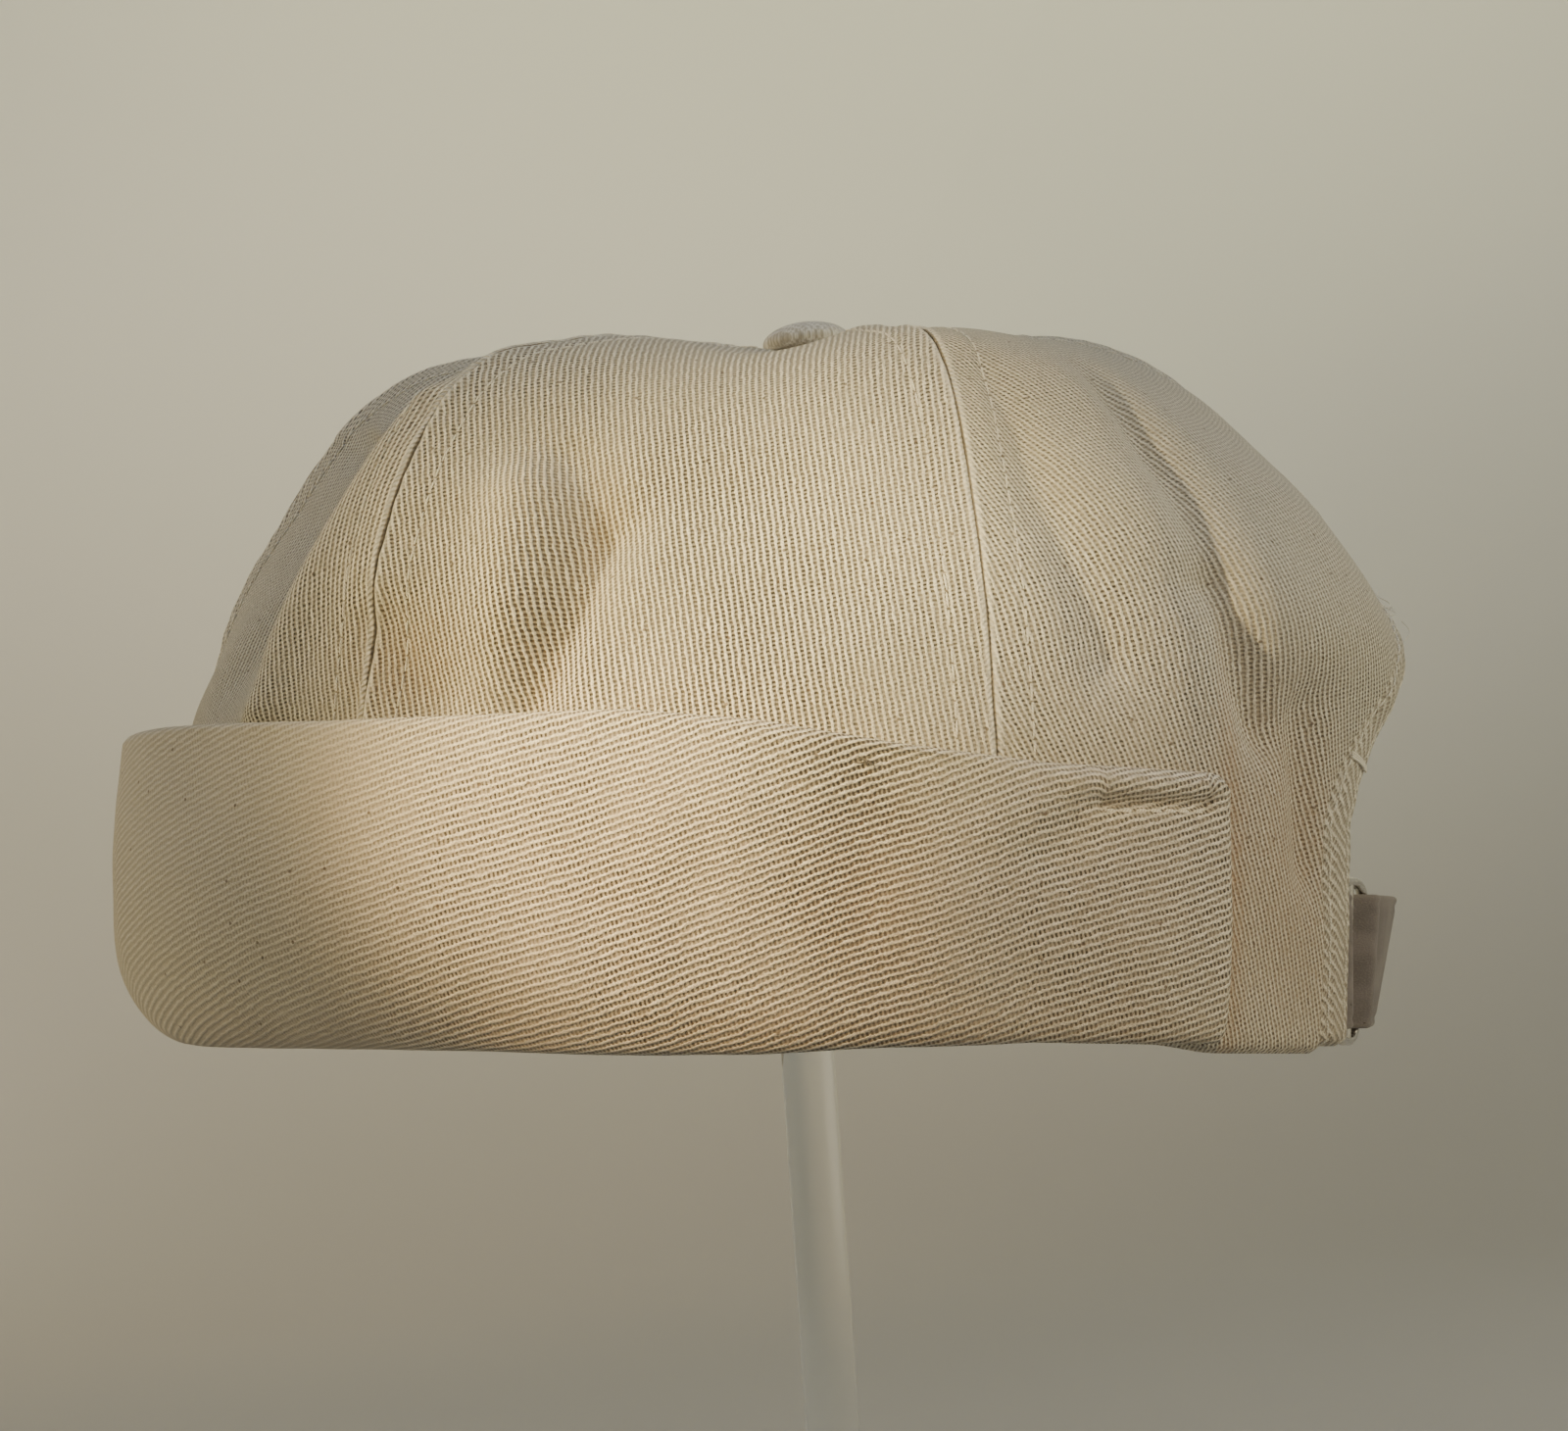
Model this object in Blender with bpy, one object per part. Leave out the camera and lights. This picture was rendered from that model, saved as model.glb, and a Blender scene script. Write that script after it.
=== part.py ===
"""A six-panel docker hat of cotton twill with a turned-up cuff, standing on a plain clear stand.

Metres, +Z up. The origin is the middle of the stand's foot, the hat's front faces -Y and its left side +X.
The hat is built in a frame of its own, with its origin on the rod at the level of the rim,
and an empty tips that frame back on the stand.
"""

import math
from collections import namedtuple

import bmesh
import bpy
import numpy as np
from mathutils import Matrix, Vector

# Sizes of the hat
FRONT_LENGTH = 0.1135
REAR_LENGTH = 0.106
HALF_WIDTH = 0.081
CROWN_HEIGHT = 0.1245
CLOTH = 0.0014
SEAM_GAP = 0.0003
CLEARANCE = 0.0003
BUTTON_RADIUS = 0.0079
BUTTON_HEIGHT = 0.0052
BUTTON_FOOT_SHARE = 0.8
BUTTON_EDGE_SHARE = 0.3
BUTTON_TILT = math.radians(6.0)
SHANK_RADIUS = 0.0042
SHANK_LENGTH = 0.0045

# Sizes of the cuff
CUFF_THICKNESS = 0.0030
CUFF_CORNER = 0.0160
CUFF_END_TURN = math.radians(139.0)

# Sizes of the opening at the back and what closes it
ARCH_HALF_WIDTH = 0.032
ARCH_SPRING = 0.038
ARCH_TOP = 0.0745
ARCH_POWER = 1.35
BINDING_WIDTH = 0.0095
BINDING_THICKNESS = 0.0022
BINDING_LIP = 0.12
STRAP_WIDTH = 0.0225
STRAP_THICKNESS = 0.0016
STRAP_EDGE_SHARE = 0.6
STRAP_BOTTOM = 0.0050
STRAP_DEPTH = 0.0019
STRAP_BULGE = 0.0054
STRAP_FLARE = 0.0022
STRAP_HALF_LENGTH = 0.052
SLIDE_OFFSET = 0.0236
SLIDE_HEIGHT = 0.0282
SLIDE_BAR_SPACING = 0.0045
SLIDE_CORNER = 0.0030
WIRE_RADIUS = 0.0009

# Sizes of the stand
ROD_RADIUS = 0.00475
BASE_RADIUS = 0.075
BASE_THICKNESS = 0.006
SOCKET_DEPTH = 0.003
RIM_ABOVE_FOOT = 0.108
HAT_TIP = math.radians(-3.8)
HEAD_RADIUS = 0.046
HEAD_THICKNESS = 0.004
HEAD_CROWNING = 0.006
HUB_RADIUS = 0.011
HUB_LENGTH = 0.010
ACRYLIC_EDGE = 0.0008

# How finely the shapes are cut up
PANEL_COLUMNS = 13
LOW_ROWS = 3
HIGH_ROWS = 15
ROW_BREAK = 0.28
ROWS_OVER_ARCH = 9
ARCH_LEG_STEPS = 3
ARCH_STEPS = 9
CUFF_STATIONS = 47
CUFF_CORNER_STEPS = 5
CUFF_WALL_STEPS = 4
CUFF_EDGE_STEPS = 4
TURNED_STEPS = 24
FOOT_STEPS = 48
HEAD_STEPS = 32
SMALL_TURN = 1e-3
PLACED_RISES = np.linspace(0, 0.7, 701)

# The crown's outline at rising levels, from the rim to the button's shank: reaches as shares of the
# front length, half width and rear length, heights as shares of the crown's height, and the power that
# squares the outline off where the seams hold it out at the shoulder.
Level = namedtuple("Level", "front side rear front_height side_height rear_height power")
CROWN_LEVELS = [
    Level(0.945, 0.975, 0.925, 0.028, 0.030, 0.016, 2.25),
    Level(0.966, 0.995, 0.928, 0.160, 0.160, 0.160, 2.25),
    Level(0.976, 0.992, 0.936, 0.330, 0.330, 0.325, 2.25),
    Level(0.970, 0.963, 0.957, 0.460, 0.460, 0.455, 2.30),
    Level(0.931, 0.911, 0.967, 0.600, 0.590, 0.572, 2.70),
    Level(0.882, 0.858, 0.908, 0.702, 0.700, 0.685, 3.00),
    Level(0.824, 0.802, 0.790, 0.798, 0.805, 0.810, 3.10),
    Level(0.763, 0.725, 0.628, 0.880, 0.898, 0.945, 3.00),
    Level(0.690, 0.617, 0.470, 0.950, 0.954, 1.010, 2.90),
    Level(0.480, 0.444, 0.290, 0.996, 0.987, 1.020, 2.60),
    Level(0.200, 0.210, 0.120, 1.000, 1.001, 1.008, 2.20),
    Level(0.050, 0.067, 0.051, 1.000, 1.000, 1.000, 2.00),
]
RIM_HEIGHT = CROWN_HEIGHT * CROWN_LEVELS[0].rear_height

# Each panel lies between two seams, given as turns from the front about the button. Its middle sags
# below the outline by the depths given at five levels, as shares of the half width; the softness is 1
# where it leaves a seam as a sharp ridge and 2 or more where it leaves it smoothly.
Panel = namedtuple("Panel", "name start end soft_start soft_end cuff low middle shoulder top")
PANELS = [
    Panel("crown_panel_front_left", 0, 45.5, 1.0, 1.7, 0.025, 0.117, 0.185, 0.185, 0.093),
    Panel("crown_panel_left", 45.5, 115.3, 1.6, 1.6, -0.012, 0.000, 0.012, 0.044, 0.054),
    Panel("crown_panel_back_left", 115.3, 180, 1.6, 1.0, 0.000, 0.012, 0.025, 0.037, 0.031),
    Panel("crown_panel_back_right", 180, 244.7, 1.0, 1.6, 0.000, 0.012, 0.025, 0.037, 0.031),
    Panel("crown_panel_right", 244.7, 314.5, 1.6, 1.6, -0.012, 0.000, 0.012, 0.044, 0.054),
    Panel("crown_panel_front_right", 314.5, 360, 1.7, 1.0, 0.025, 0.117, 0.185, 0.185, 0.093),
]
SAG_LEVELS = [0.0, 0.27, 0.38, 0.52, 0.66, 0.83, 1.0]

# Dents and ridges in the crown: where each starts and ends, as a turn from the front in degrees and a
# rise from rim (0) to button (1), then its half width and its height, which is negative for a dent, as
# shares of the crown's half width. They are measured on a flat sheet, where a radian of turn has the
# length of the middle radius and the whole rise that of the crown's side from rim to button.
Fold = namedtuple("Fold", "start_turn start_rise end_turn end_rise half_width height")
FOLDS = [
    Fold(23, 0.34, 33, 0.64, 0.160, -0.054),
    Fold(34, 0.26, 44, 0.56, 0.086, 0.015),
    Fold(47, 0.33, 53, 0.28, 0.099, -0.022),
    Fold(59, 0.47, 60, 0.34, 0.123, 0.032),
    Fold(65, 0.51, 70, 0.44, 0.086, -0.017),
    Fold(70, 0.42, 64, 0.28, 0.086, -0.032),
    Fold(122, 0.53, 128, 0.31, 0.086, -0.022),
    Fold(139, 0.56, 138, 0.41, 0.099, -0.037),
    Fold(138, 0.38, 145, 0.25, 0.086, -0.032),
    Fold(151, 0.27, 152, 0.15, 0.074, -0.025),
    Fold(166, 0.30, 180, 0.375, 0.086, 0.020),
    Fold(-166, 0.30, -180, 0.375, 0.086, 0.020),
    Fold(-22, 0.32, -32, 0.64, 0.160, -0.049),
    Fold(-62, 0.50, -66, 0.30, 0.111, -0.032),
    Fold(-84, 0.46, -78, 0.30, 0.123, 0.020),
    Fold(-124, 0.55, -129, 0.30, 0.099, -0.027),
    Fold(-141, 0.54, -143, 0.26, 0.099, -0.035),
]
SHEET_RADIUS = (FRONT_LENGTH + HALF_WIDTH) / 2
SHEET_HEIGHT = CROWN_HEIGHT + 0.75 * HALF_WIDTH

# The cuff at turns from the front: the height of its top edge, the lift of its lower edge, and how far
# the middle of its cloth stands off the crown at the belly and at the top, all as shares of the crown's
# height.
CuffSection = namedtuple("CuffSection", "turn height lift belly top")
CUFF_SECTIONS = [
    CuffSection(0, 0.4434, 0.0161, 0.0779, 0.0659),
    CuffSection(25, 0.4418, 0.0161, 0.0819, 0.0675),
    CuffSection(45, 0.4337, 0.0161, 0.0787, 0.0659),
    CuffSection(60, 0.4273, 0.0161, 0.0675, 0.0578),
    CuffSection(75, 0.4233, 0.0145, 0.0498, 0.0434),
    CuffSection(90, 0.4112, 0.0145, 0.0353, 0.0337),
    CuffSection(105, 0.3871, 0.0241, 0.0273, 0.0265),
    CuffSection(120, 0.3695, 0.0273, 0.0233, 0.0225),
    CuffSection(139, 0.3647, 0.0257, 0.0217, 0.0209),
]


def clear_scene():
    """Removes whatever the scene holds."""
    for found in list(bpy.data.objects):
        bpy.data.objects.remove(found, do_unlink=True)


def smooth_rows(values, at):
    """Values of an evenly spaced row at places from 0 to 1, along a Catmull-Rom curve."""
    values = np.asarray(values, float)
    last = len(values) - 1
    place = np.clip(np.asarray(at, float), 0.0, 1.0) * last
    left = np.minimum(np.floor(place).astype(int), last - 1)
    f = place - left
    before, here = values[np.maximum(left - 1, 0)], values[left]
    there, after = values[left + 1], values[np.minimum(left + 2, last)]
    slope_here, slope_there = (there - before) / 2, (after - here) / 2
    return (
        (2 * f**3 - 3 * f**2 + 1) * here
        + (f**3 - 2 * f**2 + f) * slope_here
        + (3 * f**2 - 2 * f**3) * there
        + (f**3 - f**2) * slope_there
    )


def level_column(name, rise):
    """One column of the crown's levels, at rises from 0 at the rim to 1 at the button's shank."""
    return smooth_rows([getattr(level, name) for level in CROWN_LEVELS], rise)


def crown_outline(turn, rise):
    """Points of the crown without sag or folds, for arrays of turns in radians and rises."""
    sine, cosine = np.sin(turn), np.cos(turn)
    ahead = cosine > 0
    front_reach = level_column("front", rise) * FRONT_LENGTH
    end_reach = np.where(ahead, front_reach, level_column("rear", rise) * REAR_LENGTH)
    end_height = np.where(ahead, level_column("front_height", rise), level_column("rear_height", rise))
    side_reach = level_column("side", rise) * HALF_WIDTH
    power = level_column("power", rise)
    radius = (np.abs(sine / side_reach) ** power + np.abs(cosine / end_reach) ** power) ** (-1 / power)
    height = level_column("side_height", rise) * sine**2 + end_height * cosine**2
    return np.stack([radius * sine, -radius * cosine, CROWN_HEIGHT * height], -1)


def crown_normal(turn, rise):
    """Outward directions of the crown's outline."""
    turn, rise = np.broadcast_arrays(np.asarray(turn, float), np.asarray(rise, float))
    along = crown_outline(turn + SMALL_TURN, rise) - crown_outline(turn - SMALL_TURN, rise)
    above, below = np.minimum(rise + SMALL_TURN, 1), np.maximum(rise - SMALL_TURN, 0)
    up = crown_outline(turn, above) - crown_outline(turn, below)
    normal = np.cross(along, up)
    return normal / np.linalg.norm(normal, axis=-1, keepdims=True)


def panel_sag(turn, rise):
    """How far the cloth lies below the outline between its seams."""
    degrees = np.degrees(turn) % 360
    sag = np.zeros(np.broadcast(degrees, rise).shape)
    for panel in PANELS:
        share = (degrees - panel.start) / (panel.end - panel.start)
        inside = (share >= 0) & (share <= 1)
        depths = [0.0, panel.cuff, panel.low, panel.middle, panel.shoulder, panel.top, 0.0]
        softness = panel.soft_start + (panel.soft_end - panel.soft_start) * np.clip(share, 0, 1)
        arc = np.sin(math.pi * np.clip(share, 0, 1)) ** softness
        sag = np.where(inside, arc * np.interp(rise, SAG_LEVELS, depths), sag)
    return sag * HALF_WIDTH


def fold_height(turn, rise):
    """How far the folds lift the cloth off the outline, negative in a dent."""
    degrees = (np.degrees(turn) + 180) % 360 - 180
    height = np.zeros(np.broadcast(degrees, rise).shape)
    for fold in FOLDS:
        start = np.array([math.radians(fold.start_turn) * SHEET_RADIUS, fold.start_rise * SHEET_HEIGHT])
        end = np.array([math.radians(fold.end_turn) * SHEET_RADIUS, fold.end_rise * SHEET_HEIGHT])
        across = np.radians(degrees) * SHEET_RADIUS - start[0]
        upward = rise * SHEET_HEIGHT - start[1]
        run = end - start
        share = np.clip((across * run[0] + upward * run[1]) / (run @ run), 0, 1)
        away = np.hypot(across - share * run[0], upward - share * run[1])
        height = height + fold.height * np.exp(-((away / (fold.half_width * HALF_WIDTH)) ** 2))
    return height * HALF_WIDTH


def crown_point(turn, rise, depth=0.0):
    """Points of the crown's cloth, at a depth below its outer face."""
    turn, rise = np.broadcast_arrays(np.asarray(turn, float), np.asarray(rise, float))
    lift = fold_height(turn, rise) - panel_sag(turn, rise) - depth
    return crown_outline(turn, rise) + crown_normal(turn, rise) * lift[..., None]


def turn_at(offset, rise):
    """The turn at which the crown's back is this far to the left of its middle."""
    power = level_column("power", rise)
    across = np.clip(np.abs(offset) / (level_column("side", rise) * HALF_WIDTH), 0, 1)
    back = level_column("rear", rise) * REAR_LENGTH * (1 - across**power) ** (1 / power)
    return math.pi - np.arctan2(offset, back)


def back_place(offset, height):
    """The turn and rise of the crown's back at offsets to the left of its middle and at heights."""
    rear_heights = level_column("rear_height", PLACED_RISES)
    offset, height = np.broadcast_arrays(np.asarray(offset, float), np.asarray(height, float))
    turn, rise = np.full(offset.shape, math.pi), np.zeros(offset.shape)
    for _ in range(6):
        lean = (level_column("rear_height", rise) - level_column("side_height", rise)) * np.sin(turn) ** 2
        rise = np.interp(height / CROWN_HEIGHT + lean, rear_heights, PLACED_RISES)
        turn = turn_at(offset, rise)
    return turn, rise


def arch_stations(margin):
    """Offsets and heights up the left side of the opening at the back, widened by a margin, to its top."""
    angle = np.linspace(0, math.pi / 2, ARCH_STEPS + 1)
    half_width, top = ARCH_HALF_WIDTH + margin, ARCH_TOP + margin
    offsets = half_width * np.abs(np.cos(angle)) ** (2 / ARCH_POWER)
    heights = ARCH_SPRING + (top - ARCH_SPRING) * np.sin(angle) ** (2 / ARCH_POWER)
    below = np.linspace(RIM_HEIGHT, ARCH_SPRING, ARCH_LEG_STEPS + 1)[:-1]
    return np.concatenate([np.full(ARCH_LEG_STEPS, half_width), offsets]), np.concatenate([below, heights])


def new_object(name, mesh, material, parent=None):
    """Links a mesh as an object with its material, in its parent's frame."""
    made = bpy.data.objects.new(name, mesh)
    bpy.context.scene.collection.objects.link(made)
    made.data.materials.append(material)
    made.parent = parent
    made.data.shade_smooth()
    made.data.set_sharp_from_angle(angle=math.radians(40))
    return made


def mesh_from(bm, name):
    """Turns a bmesh into a mesh with its faces pointing out."""
    bmesh.ops.recalc_face_normals(bm, faces=bm.faces)
    mesh = bpy.data.meshes.new(name)
    bm.to_mesh(mesh)
    bm.free()
    return mesh


def cloth_wall(name, face, back):
    """A closed wall between two grids of points, extruded from one to the other."""
    rows, columns = face.shape[:2]
    bm = bmesh.new()
    place = bm.verts.layers.int.new("place")
    grid = [bm.verts.new(point) for point in face.reshape(-1, 3)]
    for index, vert in enumerate(grid):
        vert[place] = index
    for row in range(rows - 1):
        for column in range(columns - 1):
            corner = row * columns + column
            above = corner + columns
            bm.faces.new([grid[corner], grid[corner + 1], grid[above + 1], grid[above]])
    extruded = bmesh.ops.extrude_face_region(bm, geom=bm.faces[:], use_keep_orig=True)
    back_points = back.reshape(-1, 3)
    for vert in extruded["geom"]:
        if isinstance(vert, bmesh.types.BMVert):
            vert.co = Vector(back_points[vert[place]])
    return mesh_from(bm, name)


def lofted_bar(name, rings):
    """A closed bar through rings of points, with flat ends."""
    bm = bmesh.new()
    loops = [[bm.verts.new(point) for point in ring] for ring in rings]
    for near, far in zip(loops, loops[1:]):
        for index in range(len(near)):
            following = (index + 1) % len(near)
            bm.faces.new([near[index], near[following], far[following], far[index]])
    bm.faces.new(loops[0])
    bm.faces.new(loops[-1])
    return mesh_from(bm, name)


def turned_mesh(name, profile, steps):
    """A solid turned about Z from a profile of radii and heights that starts and ends on the axis."""
    bm = bmesh.new()
    verts = [bm.verts.new((radius, 0, height)) for radius, height in profile]
    edges = [bm.edges.new(pair) for pair in zip(verts, verts[1:])]
    bmesh.ops.spin(bm, geom=verts + edges, cent=(0, 0, 0), axis=(0, 0, 1), angle=math.tau, steps=steps)
    bmesh.ops.remove_doubles(bm, verts=bm.verts, dist=1e-6)
    return mesh_from(bm, name)


def material(name, colour, roughness, metallic=0.0, alpha=1.0):
    """A Principled material."""
    made = bpy.data.materials.new(name)
    made.use_nodes = True
    shader = made.node_tree.nodes["Principled BSDF"]
    shader.inputs["Base Color"].default_value = (*colour, 1)
    shader.inputs["Roughness"].default_value = roughness
    shader.inputs["Metallic"].default_value = metallic
    shader.inputs["Alpha"].default_value = alpha
    return made


def seam_trim(turn, rise, side):
    """The turn of a panel's edge, half a seam gap from the seam, on one side of it."""
    around = crown_outline(turn + SMALL_TURN, rise) - crown_outline(turn - SMALL_TURN, rise)
    return turn + side * SEAM_GAP * SMALL_TURN / np.linalg.norm(around, axis=-1)


def make_panel(panel, cloth, hat):
    """One gore of the crown, from the rim or the opening at the back up to the button."""
    if 180 in (panel.start, panel.end):
        edge, rise = back_place(*arch_stations(BINDING_WIDTH + CLEARANCE))
        above = np.linspace(rise[-1], 1, ROWS_OVER_ARCH + 1)[1:]
        rise = np.concatenate([rise, above])
        edge = np.concatenate([edge, np.full(above.shape, math.pi)])
    else:
        low = np.linspace(0, ROW_BREAK, LOW_ROWS + 1)[:-1]
        rise = np.concatenate([low, np.linspace(ROW_BREAK, 1, HIGH_ROWS)])
        edge = np.full(rise.shape, math.pi)
    start = seam_trim(np.full(rise.shape, math.radians(panel.start)), rise, 1)
    end = seam_trim(np.full(rise.shape, math.radians(panel.end)), rise, -1)
    if panel.end == 180:
        end = np.minimum(end, edge)
    if panel.start == 180:
        start = np.maximum(start, math.tau - edge)
    turn = start[:, None] + (end - start)[:, None] * np.linspace(0, 1, PANEL_COLUMNS)
    level = np.repeat(rise[:, None], PANEL_COLUMNS, axis=1)
    mesh = cloth_wall(panel.name, crown_point(turn, level), crown_point(turn, level, CLOTH))
    return new_object(panel.name, mesh, cloth, hat)


def button_seat():
    """The height of the middle of the button's foot, which clears the crown all round although it tilts."""
    ring = crown_point(np.linspace(0, math.tau, 73), np.full(73, 1.0))
    return ring[:, 2].max() + CLEARANCE + BUTTON_RADIUS * BUTTON_FOOT_SHARE * math.sin(BUTTON_TILT)


def make_button(cloth, hat):
    """The covered button, with a shank through the ring that the panels leave open."""
    reach = BUTTON_RADIUS * BUTTON_FOOT_SHARE
    edge_height = BUTTON_HEIGHT * BUTTON_EDGE_SHARE
    dome = [
        (BUTTON_RADIUS * math.cos(angle), edge_height + (BUTTON_HEIGHT - edge_height) * math.sin(angle))
        for angle in np.linspace(0, math.pi / 2, 7)
    ]
    profile = [(0, -SHANK_LENGTH), (SHANK_RADIUS, -SHANK_LENGTH), (SHANK_RADIUS, 0), (reach, 0)]
    profile += dome[:-1] + [(0, BUTTON_HEIGHT)]
    button = new_object("crown_button", turned_mesh("crown_button", profile, TURNED_STEPS), cloth, hat)
    button.location = (0, 0, button_seat())
    button.rotation_euler = (BUTTON_TILT, 0, 0)
    return button


def cuff_column(name, turn):
    """One column of the cuff's sections at a turn from the front, the same on both sides."""
    turns = [section.turn for section in CUFF_SECTIONS]
    values = [getattr(section, name) for section in CUFF_SECTIONS]
    return float(np.interp(abs(math.degrees(turn)), turns, values)) * CROWN_HEIGHT


def cuff_section(turn):
    """The cuff's section at one turn, as distances off the crown and heights: a closed loop."""
    half = CUFF_THICKNESS / 2
    belly, top, height, lift = (cuff_column(name, turn) for name in ("belly", "top", "height", "lift"))
    foot = CLEARANCE + half
    roundness = (belly - foot) / (cuff_column("belly", 0.0) - foot)
    corner_height = max(CUFF_CORNER * roundness, CUFF_THICKNESS)
    line = [
        (foot + (belly - foot) * math.sin(angle), lift + half + corner_height * (1 - math.cos(angle)))
        for angle in np.linspace(0, math.pi / 2, CUFF_CORNER_STEPS + 1)
    ]
    start, end = line[-1][1], height - half
    for share in np.linspace(0, 1, CUFF_WALL_STEPS + 1)[1:]:
        line.append((belly + (top - belly) * share**2, start + (end - start) * share))
    line = np.array(line)
    slope = np.gradient(line, axis=0)
    across = np.stack([slope[:, 1], -slope[:, 0]], -1) / np.linalg.norm(slope, axis=1, keepdims=True)
    up = slope[-1] / np.linalg.norm(slope[-1])
    cap = [
        line[-1] + half * (across[-1] * math.cos(angle) + up * math.sin(angle))
        for angle in np.linspace(0, math.pi, CUFF_EDGE_STEPS + 1)[1:-1]
    ]
    return np.concatenate([line + across * half, cap, (line - across * half)[::-1]])


def cuff_ring(turn):
    """The points round the cuff's section at one turn, standing off the crown's cloth."""
    section = cuff_section(turn)
    heights = crown_outline(np.full(PLACED_RISES.shape, turn), PLACED_RISES)[:, 2]
    rise = np.interp(section[:, 1], heights, PLACED_RISES)
    turns = np.full(rise.shape, turn)
    outward = crown_normal(turns, rise) * (1, 1, 0)
    outward /= np.linalg.norm(outward, axis=1, keepdims=True)
    points = crown_outline(turns, rise) + outward * section[:, :1]
    points[:, 2] = section[:, 1]
    return points


def make_cuff(cloth, hat):
    """The turned-up cuff, a doubled band that stands off the crown and rounds under to meet the rim."""
    turns = np.linspace(-CUFF_END_TURN, CUFF_END_TURN, CUFF_STATIONS)
    mesh = lofted_bar("cuff", [cuff_ring(turn) for turn in turns])
    return new_object("cuff", mesh, cloth, hat)


def binding_ring(near, far):
    """The points round the binding's section between its near and far edges, given as offset and height."""
    lip = BINDING_LIP
    half_wall = BINDING_THICKNESS / 2
    corners = [(lip, 0.0), (0.0, 0.3), (0.0, 0.7), (lip, 1.0),
               (1 - lip, 1.0), (1.0, 0.7), (1.0, 0.3), (1 - lip, 0.0)]
    ring = []
    for across, through in corners:
        turn, rise = back_place(*(near + (far - near) * across))
        ring.append(crown_point(turn, rise, CLOTH / 2 - half_wall + BINDING_THICKNESS * through))
    return ring


def make_binding(cloth, hat):
    """The bias binding round the opening at the back, from rim to rim over the top."""
    near = np.stack(arch_stations(0), -1)
    far = np.stack(arch_stations(BINDING_WIDTH), -1)
    rings = [binding_ring(*pair) for pair in zip(near, far)]
    mirror = (-1, 1)
    rings += [binding_ring(*pair) for pair in zip(near[-2::-1] * mirror, far[-2::-1] * mirror)]
    return new_object("arch_binding", lofted_bar("arch_binding", rings), cloth, hat)


def strap_weave(distance):
    """How far the strap stands out of its line, at distances from the middle of the slide: it passes
    outside the slide's frame and inside its middle bar."""
    amplitude = WIRE_RADIUS + STRAP_THICKNESS / 2 + CLEARANCE
    away = abs(distance)
    if away < SLIDE_BAR_SPACING:
        return -amplitude * math.cos(math.pi * away / SLIDE_BAR_SPACING)
    fade = min((away - SLIDE_BAR_SPACING) / SLIDE_BAR_SPACING, 1)
    return amplitude * (1 + math.cos(math.pi * fade)) / 2


def strap_frame(offset):
    """Where the strap's line passes at an offset to the left, its outward direction, its bulge's share."""
    heights = STRAP_BOTTOM + STRAP_WIDTH * np.linspace(-0.1, 1.1, 9)
    turn, rise = back_place(offset, heights)
    middle = len(heights) // 2
    outward = crown_normal(turn[middle], rise[middle]) * (1, 1, 0)
    outward /= np.linalg.norm(outward)
    lining = (crown_point(turn, rise, CLOTH) @ outward).min()
    point = crown_outline(turn[middle], rise[middle])
    free = max(1 - (offset / (ARCH_HALF_WIDTH - CLOTH)) ** 2, 0) ** 2
    seated = np.clip((STRAP_HALF_LENGTH - abs(offset)) / (STRAP_HALF_LENGTH - ARCH_HALF_WIDTH - BINDING_WIDTH), 0, 1)
    contact = 2 * CLEARANCE + STRAP_THICKNESS / 2
    depth = contact + (STRAP_DEPTH - contact) * seated
    return point + outward * (lining - point @ outward - depth + STRAP_BULGE * free), outward, free


def strap_point(frame, out, height):
    """A point this far out from the strap's line, given its frame there, leaning with it at its height."""
    middle, outward, free = frame
    flare = STRAP_FLARE * free * (2 * (height - STRAP_BOTTOM) / STRAP_WIDTH - 1)
    x, y = (middle + outward * (out + flare))[:2]
    return (x, y, height)


def make_strap(leather, hat):
    """The strap across the opening at the back, woven through the slide."""
    half = STRAP_THICKNESS / 2
    low, high = STRAP_BOTTOM, STRAP_BOTTOM + STRAP_WIDTH
    edge = half * STRAP_EDGE_SHARE
    section = [(half, low + edge), (half, high - edge), (edge, high), (-edge, high),
               (-half, high - edge), (-half, low + edge), (-edge, low), (edge, low)]
    woven = 2 * SLIDE_BAR_SPACING
    stations = np.concatenate([
        np.linspace(-STRAP_HALF_LENGTH, SLIDE_OFFSET - woven, 25)[:-1],
        np.linspace(SLIDE_OFFSET - woven, SLIDE_OFFSET + woven, 17),
        np.linspace(SLIDE_OFFSET + woven, STRAP_HALF_LENGTH, 9)[1:],
    ])
    rings = []
    for offset in stations:
        frame = strap_frame(offset)
        weave = strap_weave(offset - SLIDE_OFFSET)
        rings.append([strap_point(frame, weave + out, height) for out, height in section])
    return new_object("back_strap", lofted_bar("back_strap", rings), leather, hat)


def wire_mesh(name, points, cyclic):
    """A round wire's mesh along points."""
    curve = bpy.data.curves.new(name, "CURVE")
    curve.dimensions = "3D"
    curve.bevel_depth = WIRE_RADIUS
    curve.bevel_resolution = 2
    curve.use_fill_caps = True
    spline = curve.splines.new("POLY")
    spline.points.add(len(points) - 1)
    for place, point in zip(spline.points, points):
        place.co = (*point, 1)
    spline.use_cyclic_u = cyclic
    source = bpy.data.objects.new(name, curve)
    bpy.context.scene.collection.objects.link(source)
    graph = bpy.context.evaluated_depsgraph_get()
    mesh = bpy.data.meshes.new_from_object(source.evaluated_get(graph))
    bpy.data.objects.remove(source)
    return mesh


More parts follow.
